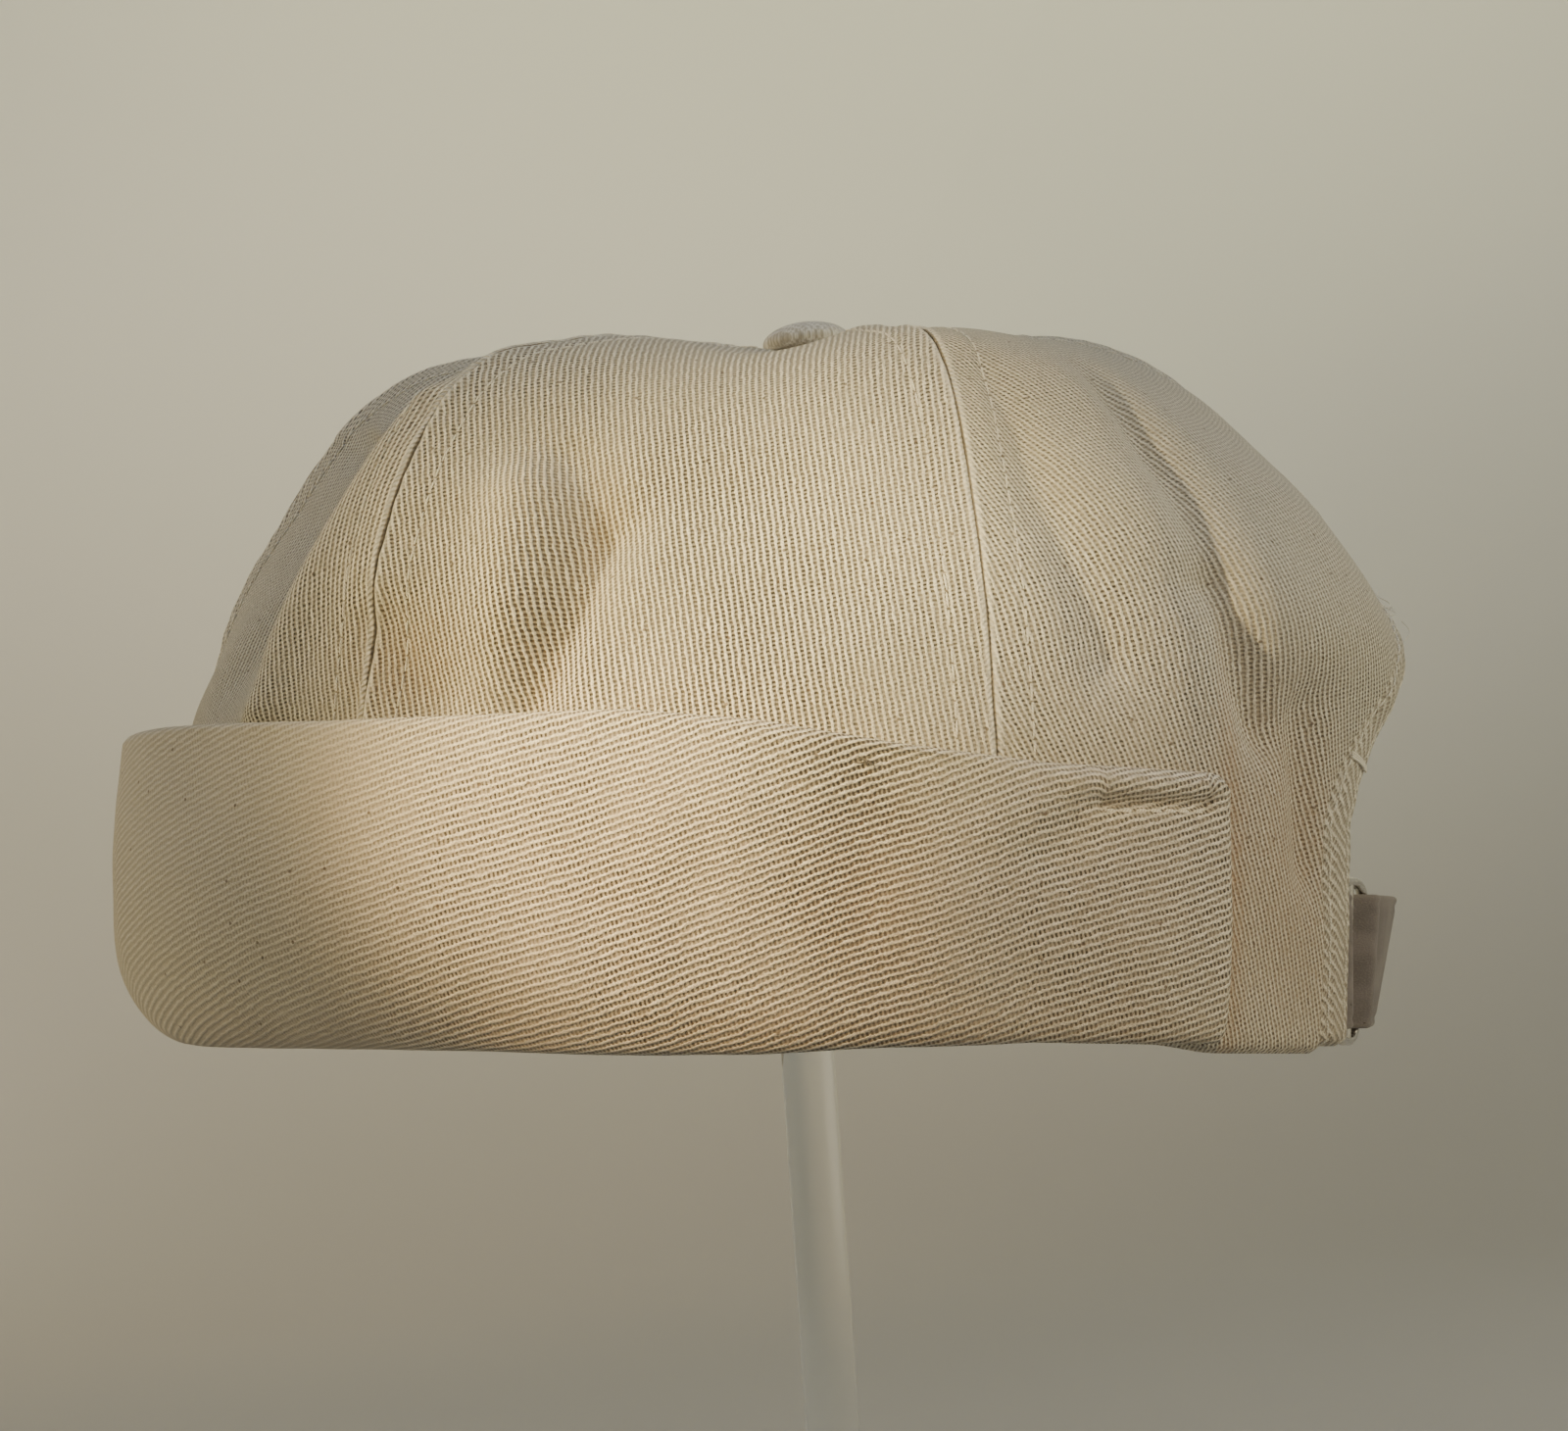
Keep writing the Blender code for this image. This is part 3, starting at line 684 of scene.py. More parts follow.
@dataclass(frozen=True)
class TwillFinish:
    """Cream cotton twill: raised ribs, darker valleys and dots painted as the weave's shade, dark cotton
    flecks, and brownish dirt mixed with painted shade.
    """

    name: str
    grain: Grain
    stitched: bool = False
    rib_pitch: float = 1.02 * MM
    float_length: float = 0.74 * MM
    stagger: float = 0.14
    relief: float = 0.24 * MM
    rib_colour: Colour = (1.0, 0.935, 0.80)
    # The valley and dot colours are painted shade: the yarn is one cream, and these stand for the weave's
    # hollows and gaps in shade.
    valley_shade_colour: Colour = (0.56, 0.49, 0.38)
    dot_shade_colour: Colour = (0.045, 0.032, 0.021)
    shade_colour: Colour = (0.42, 0.36, 0.28)
    nap_colour: Colour = (0.60, 0.53, 0.42)
    # the colour of dirt, and of painted shade in creases and beside the cuff
    soil_and_shade_colour: Colour = (0.42, 0.26, 0.15)
    fleck_colour: Colour = (0.11, 0.065, 0.04)
    # painted shade of the needle holes and of the seam's gap
    painted_gap_shade_colour: Colour = (0.20, 0.15, 0.10)

    def weave(self, tree: ShaderTree, flat: Socket, fine: Socket) -> dict[str, Socket]:
        """The twill's pattern, with threads that wander a little.

        Args:
            tree: The material's nodes.
            flat: The cloth coordinates.
            fine: Fine noise in them.

        Returns:
            The waves of the ribs, of the picks and of the valleys between the ribs, the dots in the
            valleys and the streaks along the ribs, by name.
        """
        angle = self.grain.value
        u, v = tree.split(flat)
        wander = tree.times(tree.add(tree.noise(flat, 45, 1), -0.5), 0.45)
        jitter = tree.times(tree.add(fine, -0.5), 0.40)
        across = tree.add(
            tree.times(u, -math.sin(angle) / self.rib_pitch),
            tree.times(v, math.cos(angle) / self.rib_pitch),
            wander,
            jitter,
        )
        along = tree.add(
            tree.times(u, math.cos(angle) / self.float_length),
            tree.times(v, math.sin(angle) / self.float_length),
        )
        rib = tree.wave(across)
        row = tree.times(tree.maths("FLOOR", across), self.stagger)
        pick = tree.wave(tree.add(along, row, jitter))
        valley = tree.maths("SUBTRACT", 1.0, rib)
        dot = tree.times(tree.remap(valley, 0.16, 0.58), tree.remap(pick, 0.24, 0.72))
        streak = tree.noise(tree.join(across, tree.times(along, 0.30)), 1.0, 1)
        return {"rib": rib, "pick": pick, "valley": valley, "dot": dot, "streak": streak}

    def colour_with_nap_and_painted_shade(
        self, tree: ShaderTree, colour: Socket, fibre: Socket, weave: dict[str, Socket]
    ) -> Socket:
        """Darkens the weave's gaps as painted shade where the light is strongest, and covers the weave with a
        plain nap colour where the cloth is rubbed flat.

        Args:
            tree: The material's nodes.
            colour: The weave's colour.
            fibre: The noise of single fibres.
            weave: The twill's pattern.

        Returns:
            The cloth's colour.
        """
        worn = tree.value("worn")
        # painted shade: the weave's gaps darken where the value is below 0
        painted_rib_shade = tree.times(tree.remap(worn, 0.0, -1.0), tree.remap(weave["valley"], 0.30, 0.80, 0.0, 0.92))
        painted_rib_shade = tree.times(painted_rib_shade, tree.remap(weave["pick"], 0.05, 0.60, 0.45, 1.0))
        colour = tree.blend(painted_rib_shade, colour, self.dot_shade_colour)
        nap = tree.blend(tree.remap(fibre, 0.35, 0.70, 0.0, 0.7), self.nap_colour, self.shade_colour)
        return tree.blend(tree.times(worn, 0.75), colour, nap)

    def seam(self, tree: ShaderTree, colour: Socket, height: Socket) -> tuple[Socket, Socket]:
        """Adds needle holes beside a seam, painted dark as their shade, its turned edge, and a painted shadow
        in the gap between the gores.

        Args:
            tree: The material's nodes.
            colour: The cloth's colour.
            height: The cloth's height map.

        Returns:
            The colour and the height map.
        """
        along_seam, from_seam = tree.split(tree.coordinates("Seam"))
        # painted shade: the needle holes are painted dark
        painted_hole_row = tree.remap(tree.maths("ABSOLUTE", from_seam), 0.10, 0.38, 1.0, 0.0)
        painted_hole_shade = tree.times(painted_hole_row, tree.remap(tree.wave(along_seam), 0.955, 0.995))
        colour = tree.blend(tree.times(painted_hole_shade, 0.7), colour, self.painted_gap_shade_colour)
        edge = tree.remap(from_seam, -5.5, -4.7, 1.0, 0.0)
        slant = tree.add(tree.times(along_seam, 3.0), tree.times(from_seam, 0.9))
        strand = tree.times(edge, tree.wave(slant))
        colour = tree.blend(tree.times(edge, 0.55), colour, self.rib_colour)
        height = tree.add(tree.times(height, tree.maths("SUBTRACT", 1.0, tree.times(edge, 0.6))), strand)
        # painted shadow: a dark line in the gap between the gores
        painted_seam_shadow = tree.remap(from_seam, -5.93, -5.72, 0.85, 0.0)
        return tree.blend(painted_seam_shadow, colour, self.painted_gap_shade_colour), height

    def material(self) -> bpy.types.Material:
        """Builds the cloth's material."""
        tree = ShaderTree(self.name)
        flat = tree.coordinates("Cloth")
        fine = tree.noise(flat, 620, 1)
        fibre = tree.noise(flat, 3600, 1)
        weave = self.weave(tree, flat, fine)
        rib, pick, dot, streak = (weave[name] for name in ("rib", "pick", "dot", "streak"))
        uneven = tree.times(dot, tree.remap(streak, 0.30, 0.58, 0.70, 1.0))
        # Painted shade of the weave: the valleys and the dots in them are painted darker than the pale ribs.
        colour = tree.blend(tree.remap(rib, 0.15, 0.70), self.valley_shade_colour, self.rib_colour)
        colour = tree.blend(tree.times(uneven, 0.96), colour, self.dot_shade_colour)
        colour = tree.blend(tree.remap(fibre, 0.40, 0.70, 0.0, 0.55), colour, self.shade_colour)
        colour = tree.blend(tree.remap(streak, 0.62, 0.36, 0.0, 0.34), colour, self.shade_colour)
        colour = self.colour_with_nap_and_painted_shade(tree, colour, fibre, weave)
        mottle = tree.noise(flat, 38, 1)
        colour = tree.blend(tree.remap(mottle, 0.35, 0.72, 0.0, 0.20), colour, self.nap_colour)
        # brown dirt and painted shade, from the patches and the cuff's dent
        soil = tree.maths("MULTIPLY", tree.value("soil"), tree.remap(fine, 0.2, 0.8, 0.7, 1.2), clamp=True)
        colour = tree.blend(soil, colour, self.soil_and_shade_colour)
        colour = tree.blend(tree.times(tree.specks(flat, 150, 0.055, 0.26), 0.75), colour, self.fleck_colour)
        height = tree.add(
            tree.times(rib, 0.8), tree.times(dot, -0.80), tree.times(pick, 0.15), tree.times(fibre, 0.60)
        )
        unworn = tree.maths("SUBTRACT", 1.0, tree.times(tree.value("worn"), 0.5))
        height = tree.times(height, unworn)
        if self.stitched:
            colour, height = self.seam(tree, colour, height)
        tree.bump(height, self.relief, 1.0)
        tree.set(base_color=colour, roughness=0.92, sheen_weight=0.2, sheen_roughness=0.6)
        tree.shader.inputs["Specular IOR Level"].default_value = 0.18
        return tree.material


@dataclass(frozen=True)
class ThreadFinish:
    """Pale sewing thread, twisted."""

    name: str = "pale_sewing_thread"
    colour: Colour = (0.95, 0.91, 0.81)
    shade: Colour = (0.74, 0.67, 0.55)
    twist_pitch: float = 0.55 * MM

    def material(self) -> bpy.types.Material:
        """Builds the thread's material."""
        tree = ShaderTree(self.name)
        flat = tree.coordinates("Cloth")
        around, along = tree.split(flat)
        strand = tree.wave(tree.add(tree.times(around, 2.0), tree.times(along, 1 / self.twist_pitch)))
        mottle = tree.noise(flat, 900, 3)
        colour = tree.blend(tree.remap(strand, 0.1, 0.8), self.shade, self.colour)
        colour = tree.blend(tree.remap(mottle, 0.4, 0.8, 0.0, 0.3), colour, self.shade)
        tree.bump(strand, 0.08 * MM, 0.8)
        tree.set(base_color=colour, roughness=0.7, sheen_weight=0.2)
        return tree.material


@dataclass(frozen=True)
class SuedeFinish:
    """Matte mauve-grey leather with a short nap, dark pricks and rubbed edges."""

    name: str = "mauve_grey_leather"
    colour: Colour = (0.225, 0.196, 0.192)
    dark: Colour = (0.165, 0.142, 0.140)
    rubbed: Colour = (0.27, 0.235, 0.21)
    prick: Colour = (0.05, 0.035, 0.03)

    def material(self) -> bpy.types.Material:
        """Builds the leather's material."""
        tree = ShaderTree(self.name)
        flat = tree.coordinates("Cloth")
        broad = tree.noise(flat, 180, 4)
        nap = tree.noise(flat, 4200, 4)
        colour = tree.blend(tree.remap(broad, 0.35, 0.7), self.dark, self.colour)
        colour = tree.blend(tree.remap(nap, 0.45, 0.75, 0.0, 0.5), colour, self.rubbed)
        colour = tree.blend(tree.value("rubbed"), colour, self.rubbed)
        colour = tree.blend(tree.specks(flat, 330, 0.07, 0.28), colour, self.prick)
        tree.bump(tree.add(nap, tree.times(broad, 0.6)), 0.12 * MM, 0.9)
        tree.set(base_color=colour, roughness=0.9, sheen_weight=0.3)
        tree.shader.inputs["Specular IOR Level"].default_value = 0.2
        return tree.material


@dataclass(frozen=True)
class SteelFinish:
    """Bright nickel-plated wire with faint drawing marks."""

    name: str = "bright_nickel_wire"
    colour: Colour = (0.78, 0.75, 0.70)
    dull: Colour = (0.50, 0.46, 0.41)

    def material(self) -> bpy.types.Material:
        """Builds the metal's material."""
        tree = ShaderTree(self.name)
        flat = tree.coordinates("Cloth")
        around, along = tree.split(flat)
        marks = tree.noise(tree.join(tree.times(around, 0.02), along), 900, 3)
        colour = tree.blend(tree.remap(marks, 0.4, 0.75, 0.0, 0.6), self.colour, self.dull)
        tree.set(base_color=colour, metallic=1.0, roughness=tree.remap(marks, 0.3, 0.8, 0.12, 0.32))
        return tree.material


@dataclass(frozen=True)
class AcrylicFinish:
    """Clear acrylic with a faint haze, fine scratches and a little dust."""

    name: str = "clear_acrylic"
    colour: Colour = (0.97, 0.985, 0.98)
    dust: Colour = (0.80, 0.79, 0.76)
    alpha: float = 1.0

    def material(self) -> bpy.types.Material:
        """Builds the acrylic's material."""
        tree = ShaderTree(self.name)
        flat = tree.coordinates("Cloth")
        haze = tree.noise(flat, 60, 3)
        dust = tree.specks(flat, 260, 0.05, 0.2)
        colour = tree.blend(tree.times(dust, 0.5), self.colour, self.dust)
        scratches = tree.noise(tree.join(tree.times(tree.split(flat)[0], 30.0), tree.split(flat)[1]), 400, 2)
        tree.bump(scratches, 0.003 * MM, 0.2)
        tree.set(base_color=colour, transmission_weight=1.0, roughness=tree.remap(haze, 0.3, 0.8, 0.0, 0.03))
        tree.shader.inputs["IOR"].default_value = 1.49
        tree.shader.inputs["Alpha"].default_value = self.alpha
        return tree.material


@dataclass(frozen=True)
class PaintedWall:
    """Pale plaster: a darker floor that turns into a lighter wall, the darkening towards the floor being
    painted shade.
    """

    name: str = "pale_wall"
    floor_and_low_shade_colour: Colour = (0.42, 0.395, 0.35)
    wall_colour: Colour = (0.86, 0.845, 0.78)
    wall_foot: float = -0.1
    wall_top: float = 0.75

    def material(self) -> bpy.types.Material:
        """Builds the wall's material."""
        tree = ShaderTree(self.name)
        place = tree.nodes.new("ShaderNodeTexCoord").outputs["Object"]
        split = tree.nodes.new("ShaderNodeSeparateXYZ")
        tree.feed(split.inputs[0], place)
        height = tree.add(split.outputs[2], tree.times(tree.noise(place, 1.6, 1, flat=False), 0.15))
        # painted shade: darker at the floor, lighter up the wall
        share = tree.remap(height, self.wall_foot, self.wall_top)
        colour = tree.blend(share, self.floor_and_low_shade_colour, self.wall_colour)
        tree.set(base_color=colour, roughness=0.85)
        return tree.material


# The crown's shape

@dataclass(frozen=True)
class Level:
    """The crown's outline at one level, as shares of its front, side and rear reach and of its height."""

    front: float
    side: float
    rear: float
    front_height: float
    side_height: float
    rear_height: float
    power: float


@dataclass(frozen=True)
class Gore:
    """One panel between two seams, with the sag of its middle at five levels as shares of the half width."""

    name: str
    start: float
    end: float
    soft_start: float
    soft_end: float
    cuff: float
    low: float
    middle: float
    shoulder: float
    top: float


@dataclass(frozen=True)
class Fold:
    """A soft dent or ridge between two places, given as turns in degrees and rises; sizes are shares."""

    start_turn: float
    start_rise: float
    end_turn: float
    end_rise: float
    half_width: float
    height: float


@dataclass(frozen=True)
class Crease:
    """A narrow fold through places given as turns in degrees and rises, negative where it sinks."""

    places: tuple[Spot, ...]
    half_width: float
    height: float


@dataclass(frozen=True)
class SoilAndShadePatch:
    """A brownish patch in the cloth, dirt in some places and painted shade in others: its middle as a turn in
    degrees and a rise, its reach and strength.
    """

    turn: float
    rise: float
    across: float
    upward: float
    strength: float


CROWN_LEVELS = [
    Level(0.945, 0.975, 0.925, 0.028, 0.030, 0.016, 2.25),
    Level(0.966, 0.995, 0.928, 0.160, 0.160, 0.160, 2.25),
    Level(0.976, 0.992, 0.936, 0.330, 0.330, 0.325, 2.25),
    Level(0.970, 0.963, 0.957, 0.460, 0.460, 0.455, 2.30),
    Level(0.931, 0.911, 0.967, 0.600, 0.590, 0.572, 2.70),
    Level(0.882, 0.858, 0.908, 0.702, 0.700, 0.685, 3.00),
    Level(0.824, 0.802, 0.790, 0.798, 0.805, 0.810, 3.10),
    Level(0.763, 0.725, 0.628, 0.880, 0.898, 0.945, 3.00),
    Level(0.690, 0.617, 0.470, 0.950, 0.954, 1.010, 2.90),
    Level(0.480, 0.444, 0.290, 0.996, 0.987, 1.020, 2.60),
    Level(0.200, 0.210, 0.120, 1.000, 1.001, 1.008, 2.20),
    Level(0.050, 0.067, 0.051, 1.000, 1.000, 1.000, 2.00),
]

GORES = [
    Gore("front_left", 0, 45.5, 1.0, 1.7, 0.025, 0.117, 0.185, 0.185, 0.093),
    Gore("left", 45.5, 115.3, 1.6, 1.6, -0.012, 0.000, 0.012, 0.044, 0.054),
    Gore("back_left", 115.3, 180, 1.6, 1.0, 0.000, 0.012, 0.025, 0.037, 0.031),
    Gore("back_right", 180, 244.7, 1.0, 1.6, 0.000, 0.012, 0.025, 0.037, 0.031),
    Gore("right", 244.7, 314.5, 1.6, 1.6, -0.012, 0.000, 0.012, 0.044, 0.054),
    Gore("front_right", 314.5, 360, 1.7, 1.0, 0.025, 0.117, 0.185, 0.185, 0.093),
]
SAG_LEVELS = [0.0, 0.27, 0.38, 0.52, 0.66, 0.83, 1.0]

FOLDS = [
    Fold(23, 0.34, 33, 0.64, 0.160, -0.054),
    Fold(32, 0.28, 41, 0.62, 0.078, 0.048),
    Fold(-4, 0.785, 4, 0.785, 0.100, 0.026),
    Fold(-4, 0.715, 4, 0.715, 0.080, -0.010),
    Fold(46, 0.79, 52, 0.90, 0.140, -0.016),
    Fold(118, 0.79, 120, 0.90, 0.120, -0.016),
    Fold(47, 0.33, 53, 0.28, 0.099, -0.022),
    Fold(59.5, 0.47, 60.5, 0.36, 0.105, 0.050),
    Fold(65, 0.51, 70, 0.44, 0.086, -0.017),
    Fold(70.0, 0.43, 64.0, 0.27, 0.078, -0.040),
    Fold(122, 0.53, 128, 0.31, 0.086, -0.022),
    Fold(137, 0.62, 139, 0.41, 0.070, -0.022),
    Fold(138, 0.38, 145, 0.25, 0.070, -0.022),
    Fold(151, 0.27, 152, 0.15, 0.074, -0.025),
    Fold(166, 0.30, 180, 0.375, 0.086, 0.020),
    Fold(-166, 0.30, -180, 0.375, 0.086, 0.020),
    Fold(-22, 0.32, -32, 0.64, 0.160, -0.049),
    Fold(-62, 0.50, -66, 0.30, 0.111, -0.032),
    Fold(-84, 0.46, -78, 0.30, 0.123, 0.020),
    Fold(-124, 0.55, -129, 0.30, 0.099, -0.027),
    Fold(-141, 0.54, -143, 0.26, 0.099, -0.035),
]

CREASES = [
    Crease(
        ((62.5, 0.53), (66.5, 0.485), (68.4, 0.43), (68.0, 0.37), (65.6, 0.31), (62.5, 0.25)),
        3.8 * MM,
        -1.4 * MM,
    ),
    Crease(((58.8, 0.484), (60.8, 0.334)), 6.0 * MM, 0.8 * MM),
    Crease(((120.5, 0.62), (124.2, 0.438), (127.5, 0.312)), 4.2 * MM, -1.3 * MM),
    Crease(((137.0, 0.60), (139.0, 0.42), (142.0, 0.31), (145.5, 0.24)), 3.4 * MM, -1.4 * MM),
    Crease(((139, 0.386), (142.2, 0.286), (144.2, 0.256)), 3.0 * MM, -0.9 * MM),
    Crease(((150.2, 0.266), (150.8, 0.212), (151.5, 0.142)), 2.6 * MM, -0.9 * MM),
    Crease(((154.0, 0.260), (154.8, 0.150)), 3.0 * MM, 0.6 * MM),
    Crease(((46.5, 0.338), (49.5, 0.312), (53, 0.284)), 4.5 * MM, -1.0 * MM),
    Crease(((-60.0, 0.52), (-66.0, 0.44), (-64.0, 0.30)), 3.6 * MM, -1.2 * MM),
    Crease(((-123.0, 0.54), (-128.0, 0.30)), 4.0 * MM, -0.9 * MM),
    Crease(((-140.5, 0.52), (-144.0, 0.26)), 4.0 * MM, -1.2 * MM),
]

SOIL_AND_SHADE_PATCHES = [
    # a darker brownish patch in the dent low beside the left front seam
    SoilAndShadePatch(49.0, 0.31, 11 * MM, 9 * MM, 0.30),
    SoilAndShadePatch(150.0, 0.16, 17 * MM, 24 * MM, 0.36),
    SoilAndShadePatch(60.0, 0.46, 22 * MM, 20 * MM, 0.08),
    # painted shade along the crease on the left gore, with some dirt
    SoilAndShadePatch(68.0, 0.43, 4.5 * MM, 13 * MM, 0.13),
    SoilAndShadePatch(64.5, 0.30, 4.5 * MM, 9 * MM, 0.12),
    # painted shadow on the hem beside the cuff's end
    SoilAndShadePatch(140.6, 0.13, 2.4 * MM, 32 * MM, 0.42),
    SoilAndShadePatch(168.0, 0.05, 30 * MM, 10 * MM, 0.18),
    SoilAndShadePatch(-40.0, 0.30, 20 * MM, 12 * MM, 0.14),
    SoilAndShadePatch(-150.0, 0.08, 30 * MM, 14 * MM, 0.20),
]


@dataclass
class CrownShape:
    """The crown's surface, which every piece of the hat is laid on."""

    front_length: float = 113.5 * MM
    rear_length: float = 106 * MM
    half_width: float = 81 * MM
    height: float = 124.5 * MM
    placed_rises: np.ndarray = field(default_factory=lambda: np.linspace(0, 0.7, 701))

    @property
    def sheet_radius(self) -> float:
        """The length of a radian of turn on the flat sheet that folds are measured on."""
        return (self.front_length + self.half_width) / 2

    @property
    def sheet_height(self) -> float:
        """The length of the whole rise on that sheet."""
        return self.height + 0.75 * self.half_width

    def level(self, name: str, rise: np.ndarray) -> np.ndarray:
        """One column of the levels at rises."""
        return smooth_rows([getattr(level, name) for level in CROWN_LEVELS], rise)

    def outline(self, turn: np.ndarray, rise: np.ndarray) -> np.ndarray:
        """Points of the crown without sag or folds.

        Args:
            turn: Turns in radians.
            rise: Rises.

        Returns:
            The points, with a last axis of 3.
        """
        sine, cosine = np.sin(turn), np.cos(turn)
        ahead = cosine > 0
        front_reach = self.level("front", rise) * self.front_length
        rear_reach = self.level("rear", rise) * self.rear_length
        reach = np.where(ahead, front_reach, rear_reach)
        end_height = np.where(ahead, self.level("front_height", rise), self.level("rear_height", rise))
        side = self.level("side", rise) * self.half_width
        power = self.level("power", rise)
        radius = (np.abs(sine / side) ** power + np.abs(cosine / reach) ** power) ** (-1 / power)
        height = self.level("side_height", rise) * sine**2 + end_height * cosine**2
        return np.stack([radius * sine, -radius * cosine, self.height * height], -1)

    def normal(self, turn: np.ndarray, rise: np.ndarray) -> np.ndarray:
        """Outward directions of the outline.

        Args:
            turn: Turns in radians.
            rise: Rises.

        Returns:
            The directions.
        """
        turn, rise = np.broadcast_arrays(np.asarray(turn, float), np.asarray(rise, float))
        along = self.outline(turn + SMALL_TURN, rise) - self.outline(turn - SMALL_TURN, rise)
        above, below = np.minimum(rise + SMALL_TURN, 1), np.maximum(rise - SMALL_TURN, 0)
        return unit(np.cross(along, self.outline(turn, above) - self.outline(turn, below)))

    def sag(self, turn: np.ndarray, rise: np.ndarray) -> np.ndarray:
        """How far the cloth lies below the outline between its seams.

        Args:
            turn: Turns in radians.
            rise: Rises.

        Returns:
            The depths.
        """
        degrees = np.degrees(turn) % 360
        sag = np.zeros(np.broadcast(degrees, rise).shape)
        for gore in GORES:
            share = (degrees - gore.start) / (gore.end - gore.start)
            inside = (share >= 0) & (share <= 1)
            depths = [0.0, gore.cuff, gore.low, gore.middle, gore.shoulder, gore.top, 0.0]
            softness = gore.soft_start + (gore.soft_end - gore.soft_start) * np.clip(share, 0, 1)
            arc = np.sin(math.pi * np.clip(share, 0, 1)) ** softness
            sag = np.where(inside, arc * smooth_between(rise, SAG_LEVELS, depths), sag)
        return sag * self.half_width

    def on_sheet(self, turn: np.ndarray, rise: np.ndarray) -> tuple[np.ndarray, np.ndarray]:
        """Places on the flat sheet, with turns from -180 to 180 degrees."""
        degrees = (np.degrees(turn) + 180) % 360 - 180
        return np.radians(degrees) * self.sheet_radius, np.asarray(rise) * self.sheet_height

    def away(self, turn: np.ndarray, rise: np.ndarray, start: Spot, end: Spot) -> np.ndarray:
        """How far places lie from a line on the sheet.

        Args:
            turn: Turns in radians.
            rise: Rises.
            start: The line's start, as a turn in degrees and a rise.
            end: Its end, likewise.

        Returns:
            The distances.
        """
        ends = [
            np.array([math.radians(spot[0]) * self.sheet_radius, spot[1] * self.sheet_height])
            for spot in (start, end)
        ]
        return line_distance(*self.on_sheet(turn, rise), *ends)

    def folds(self, turn: np.ndarray, rise: np.ndarray) -> np.ndarray:
        """How far the soft folds lift the cloth off the outline.

        Args:
            turn: Turns in radians.
            rise: Rises.

        Returns:
            The heights, negative in a dent.
        """
        height = np.zeros(np.broadcast(turn, rise).shape)
        for fold in FOLDS:
            start, end = (fold.start_turn, fold.start_rise), (fold.end_turn, fold.end_rise)
            away = self.away(turn, rise, start, end)
            height = height + fold.height * bell(away, fold.half_width * self.half_width)
        return height * self.half_width

    def creases(self, turn: np.ndarray, rise: np.ndarray) -> np.ndarray:
        """How far the narrow creases lift the cloth, on top of the soft folds.

        Args:
            turn: Turns in radians.
            rise: Rises.

        Returns:
            The heights, negative where they sink.
        """
        height = np.zeros(np.broadcast(turn, rise).shape)
        for crease in CREASES:
            nearest = np.full(height.shape, np.inf)
            for start, end in zip(crease.places, crease.places[1:]):
                nearest = np.minimum(nearest, self.away(turn, rise, start, end))
            height = height + crease.height * bell(nearest, crease.half_width)
        return height

    def soil_and_painted_shade_map(self, turn: np.ndarray, rise: np.ndarray) -> np.ndarray:
        """How strongly the cloth is painted brown, with dirt in some patches and painted shade in others.

        Args:
            turn: Turns in radians.
            rise: Rises.

        Returns:
            The strength, 0 where the cloth is clean and unshaded.
        """
        across, upward = self.on_sheet(turn, rise)
        soil = np.zeros(np.broadcast(turn, rise).shape)
        for patch in SOIL_AND_SHADE_PATCHES:
            beside = (across - math.radians(patch.turn) * self.sheet_radius) / patch.across
            above = (upward - patch.rise * self.sheet_height) / patch.upward
            soil = soil + patch.strength * np.exp(-(beside**2) - above**2)
        return soil

    def nap_and_painted_shade_map(self, turn: np.ndarray, rise: np.ndarray) -> np.ndarray:
        """How far the ribs are rubbed to a nap, over the top and high on the back; below 0, painted shade
        darkens the weave's gaps where the light is strongest.

        Args:
            turn: Turns in radians.
            rise: Rises.

        Returns:
            The nap above 0 and the painted shade below 0, from -1 to 1.
        """
        around = from_front(turn)
        top = 0.50 * ease(rise, 0.66, 0.86)
        back = 0.55 * ease(around, 128, 148) * ease(rise, 0.26, 0.42)
        # painted shade in the weave's gaps on the brightest part of the side gores
        painted_rib_shade = 0.85 * bell(around - 76, 34) * bell(rise - 0.36, 0.26)
        return np.maximum(top, back) - painted_rib_shade

    def point(self, turn: np.ndarray, rise: np.ndarray, depth: Value = 0.0, fine: bool = False) -> np.ndarray:
        """Points of the cloth.

        Args:
            turn: Turns in radians.
            rise: Rises.
            depth: How far they lie below the cloth's outer face.
            fine: True to add the narrow creases.

        Returns:
            The points.
        """
        turn, rise = np.broadcast_arrays(np.asarray(turn, float), np.asarray(rise, float))
        lift = self.folds(turn, rise) - self.sag(turn, rise) - depth
        if fine:
            lift = lift + self.creases(turn, rise)
        return self.outline(turn, rise) + self.normal(turn, rise) * lift[..., None]

    def turn_at(self, offset: np.ndarray, rise: np.ndarray) -> np.ndarray:
        """The turn at which the crown's back is this far to the left of its middle.

        Args:
            offset: Distances to the left of the back's middle.
            rise: Rises.

        Returns:
            The turns in radians.
        """
        power = self.level("power", rise)
        across = np.clip(np.abs(offset) / (self.level("side", rise) * self.half_width), 0, 1)
        back = self.level("rear", rise) * self.rear_length * (1 - across**power) ** (1 / power)
        return math.pi - np.arctan2(offset, back)

    def back_place(self, offset: np.ndarray, height: np.ndarray) -> tuple[np.ndarray, np.ndarray]:
        """The turn and rise of the crown's back.

        Args:
            offset: Distances to the left of its middle.
            height: Heights.

        Returns:
            The turns in radians and the rises.
        """
        rear_heights = self.level("rear_height", self.placed_rises)
        offset, height = np.broadcast_arrays(np.asarray(offset, float), np.asarray(height, float))
        turn, rise = np.full(offset.shape, math.pi), np.zeros(offset.shape)
        for _ in range(6):
            lean = (self.level("rear_height", rise) - self.level("side_height", rise)) * np.sin(turn) ** 2
            rise = np.interp(height / self.height + lean, rear_heights, self.placed_rises)
            turn = self.turn_at(offset, rise)
        return turn, rise


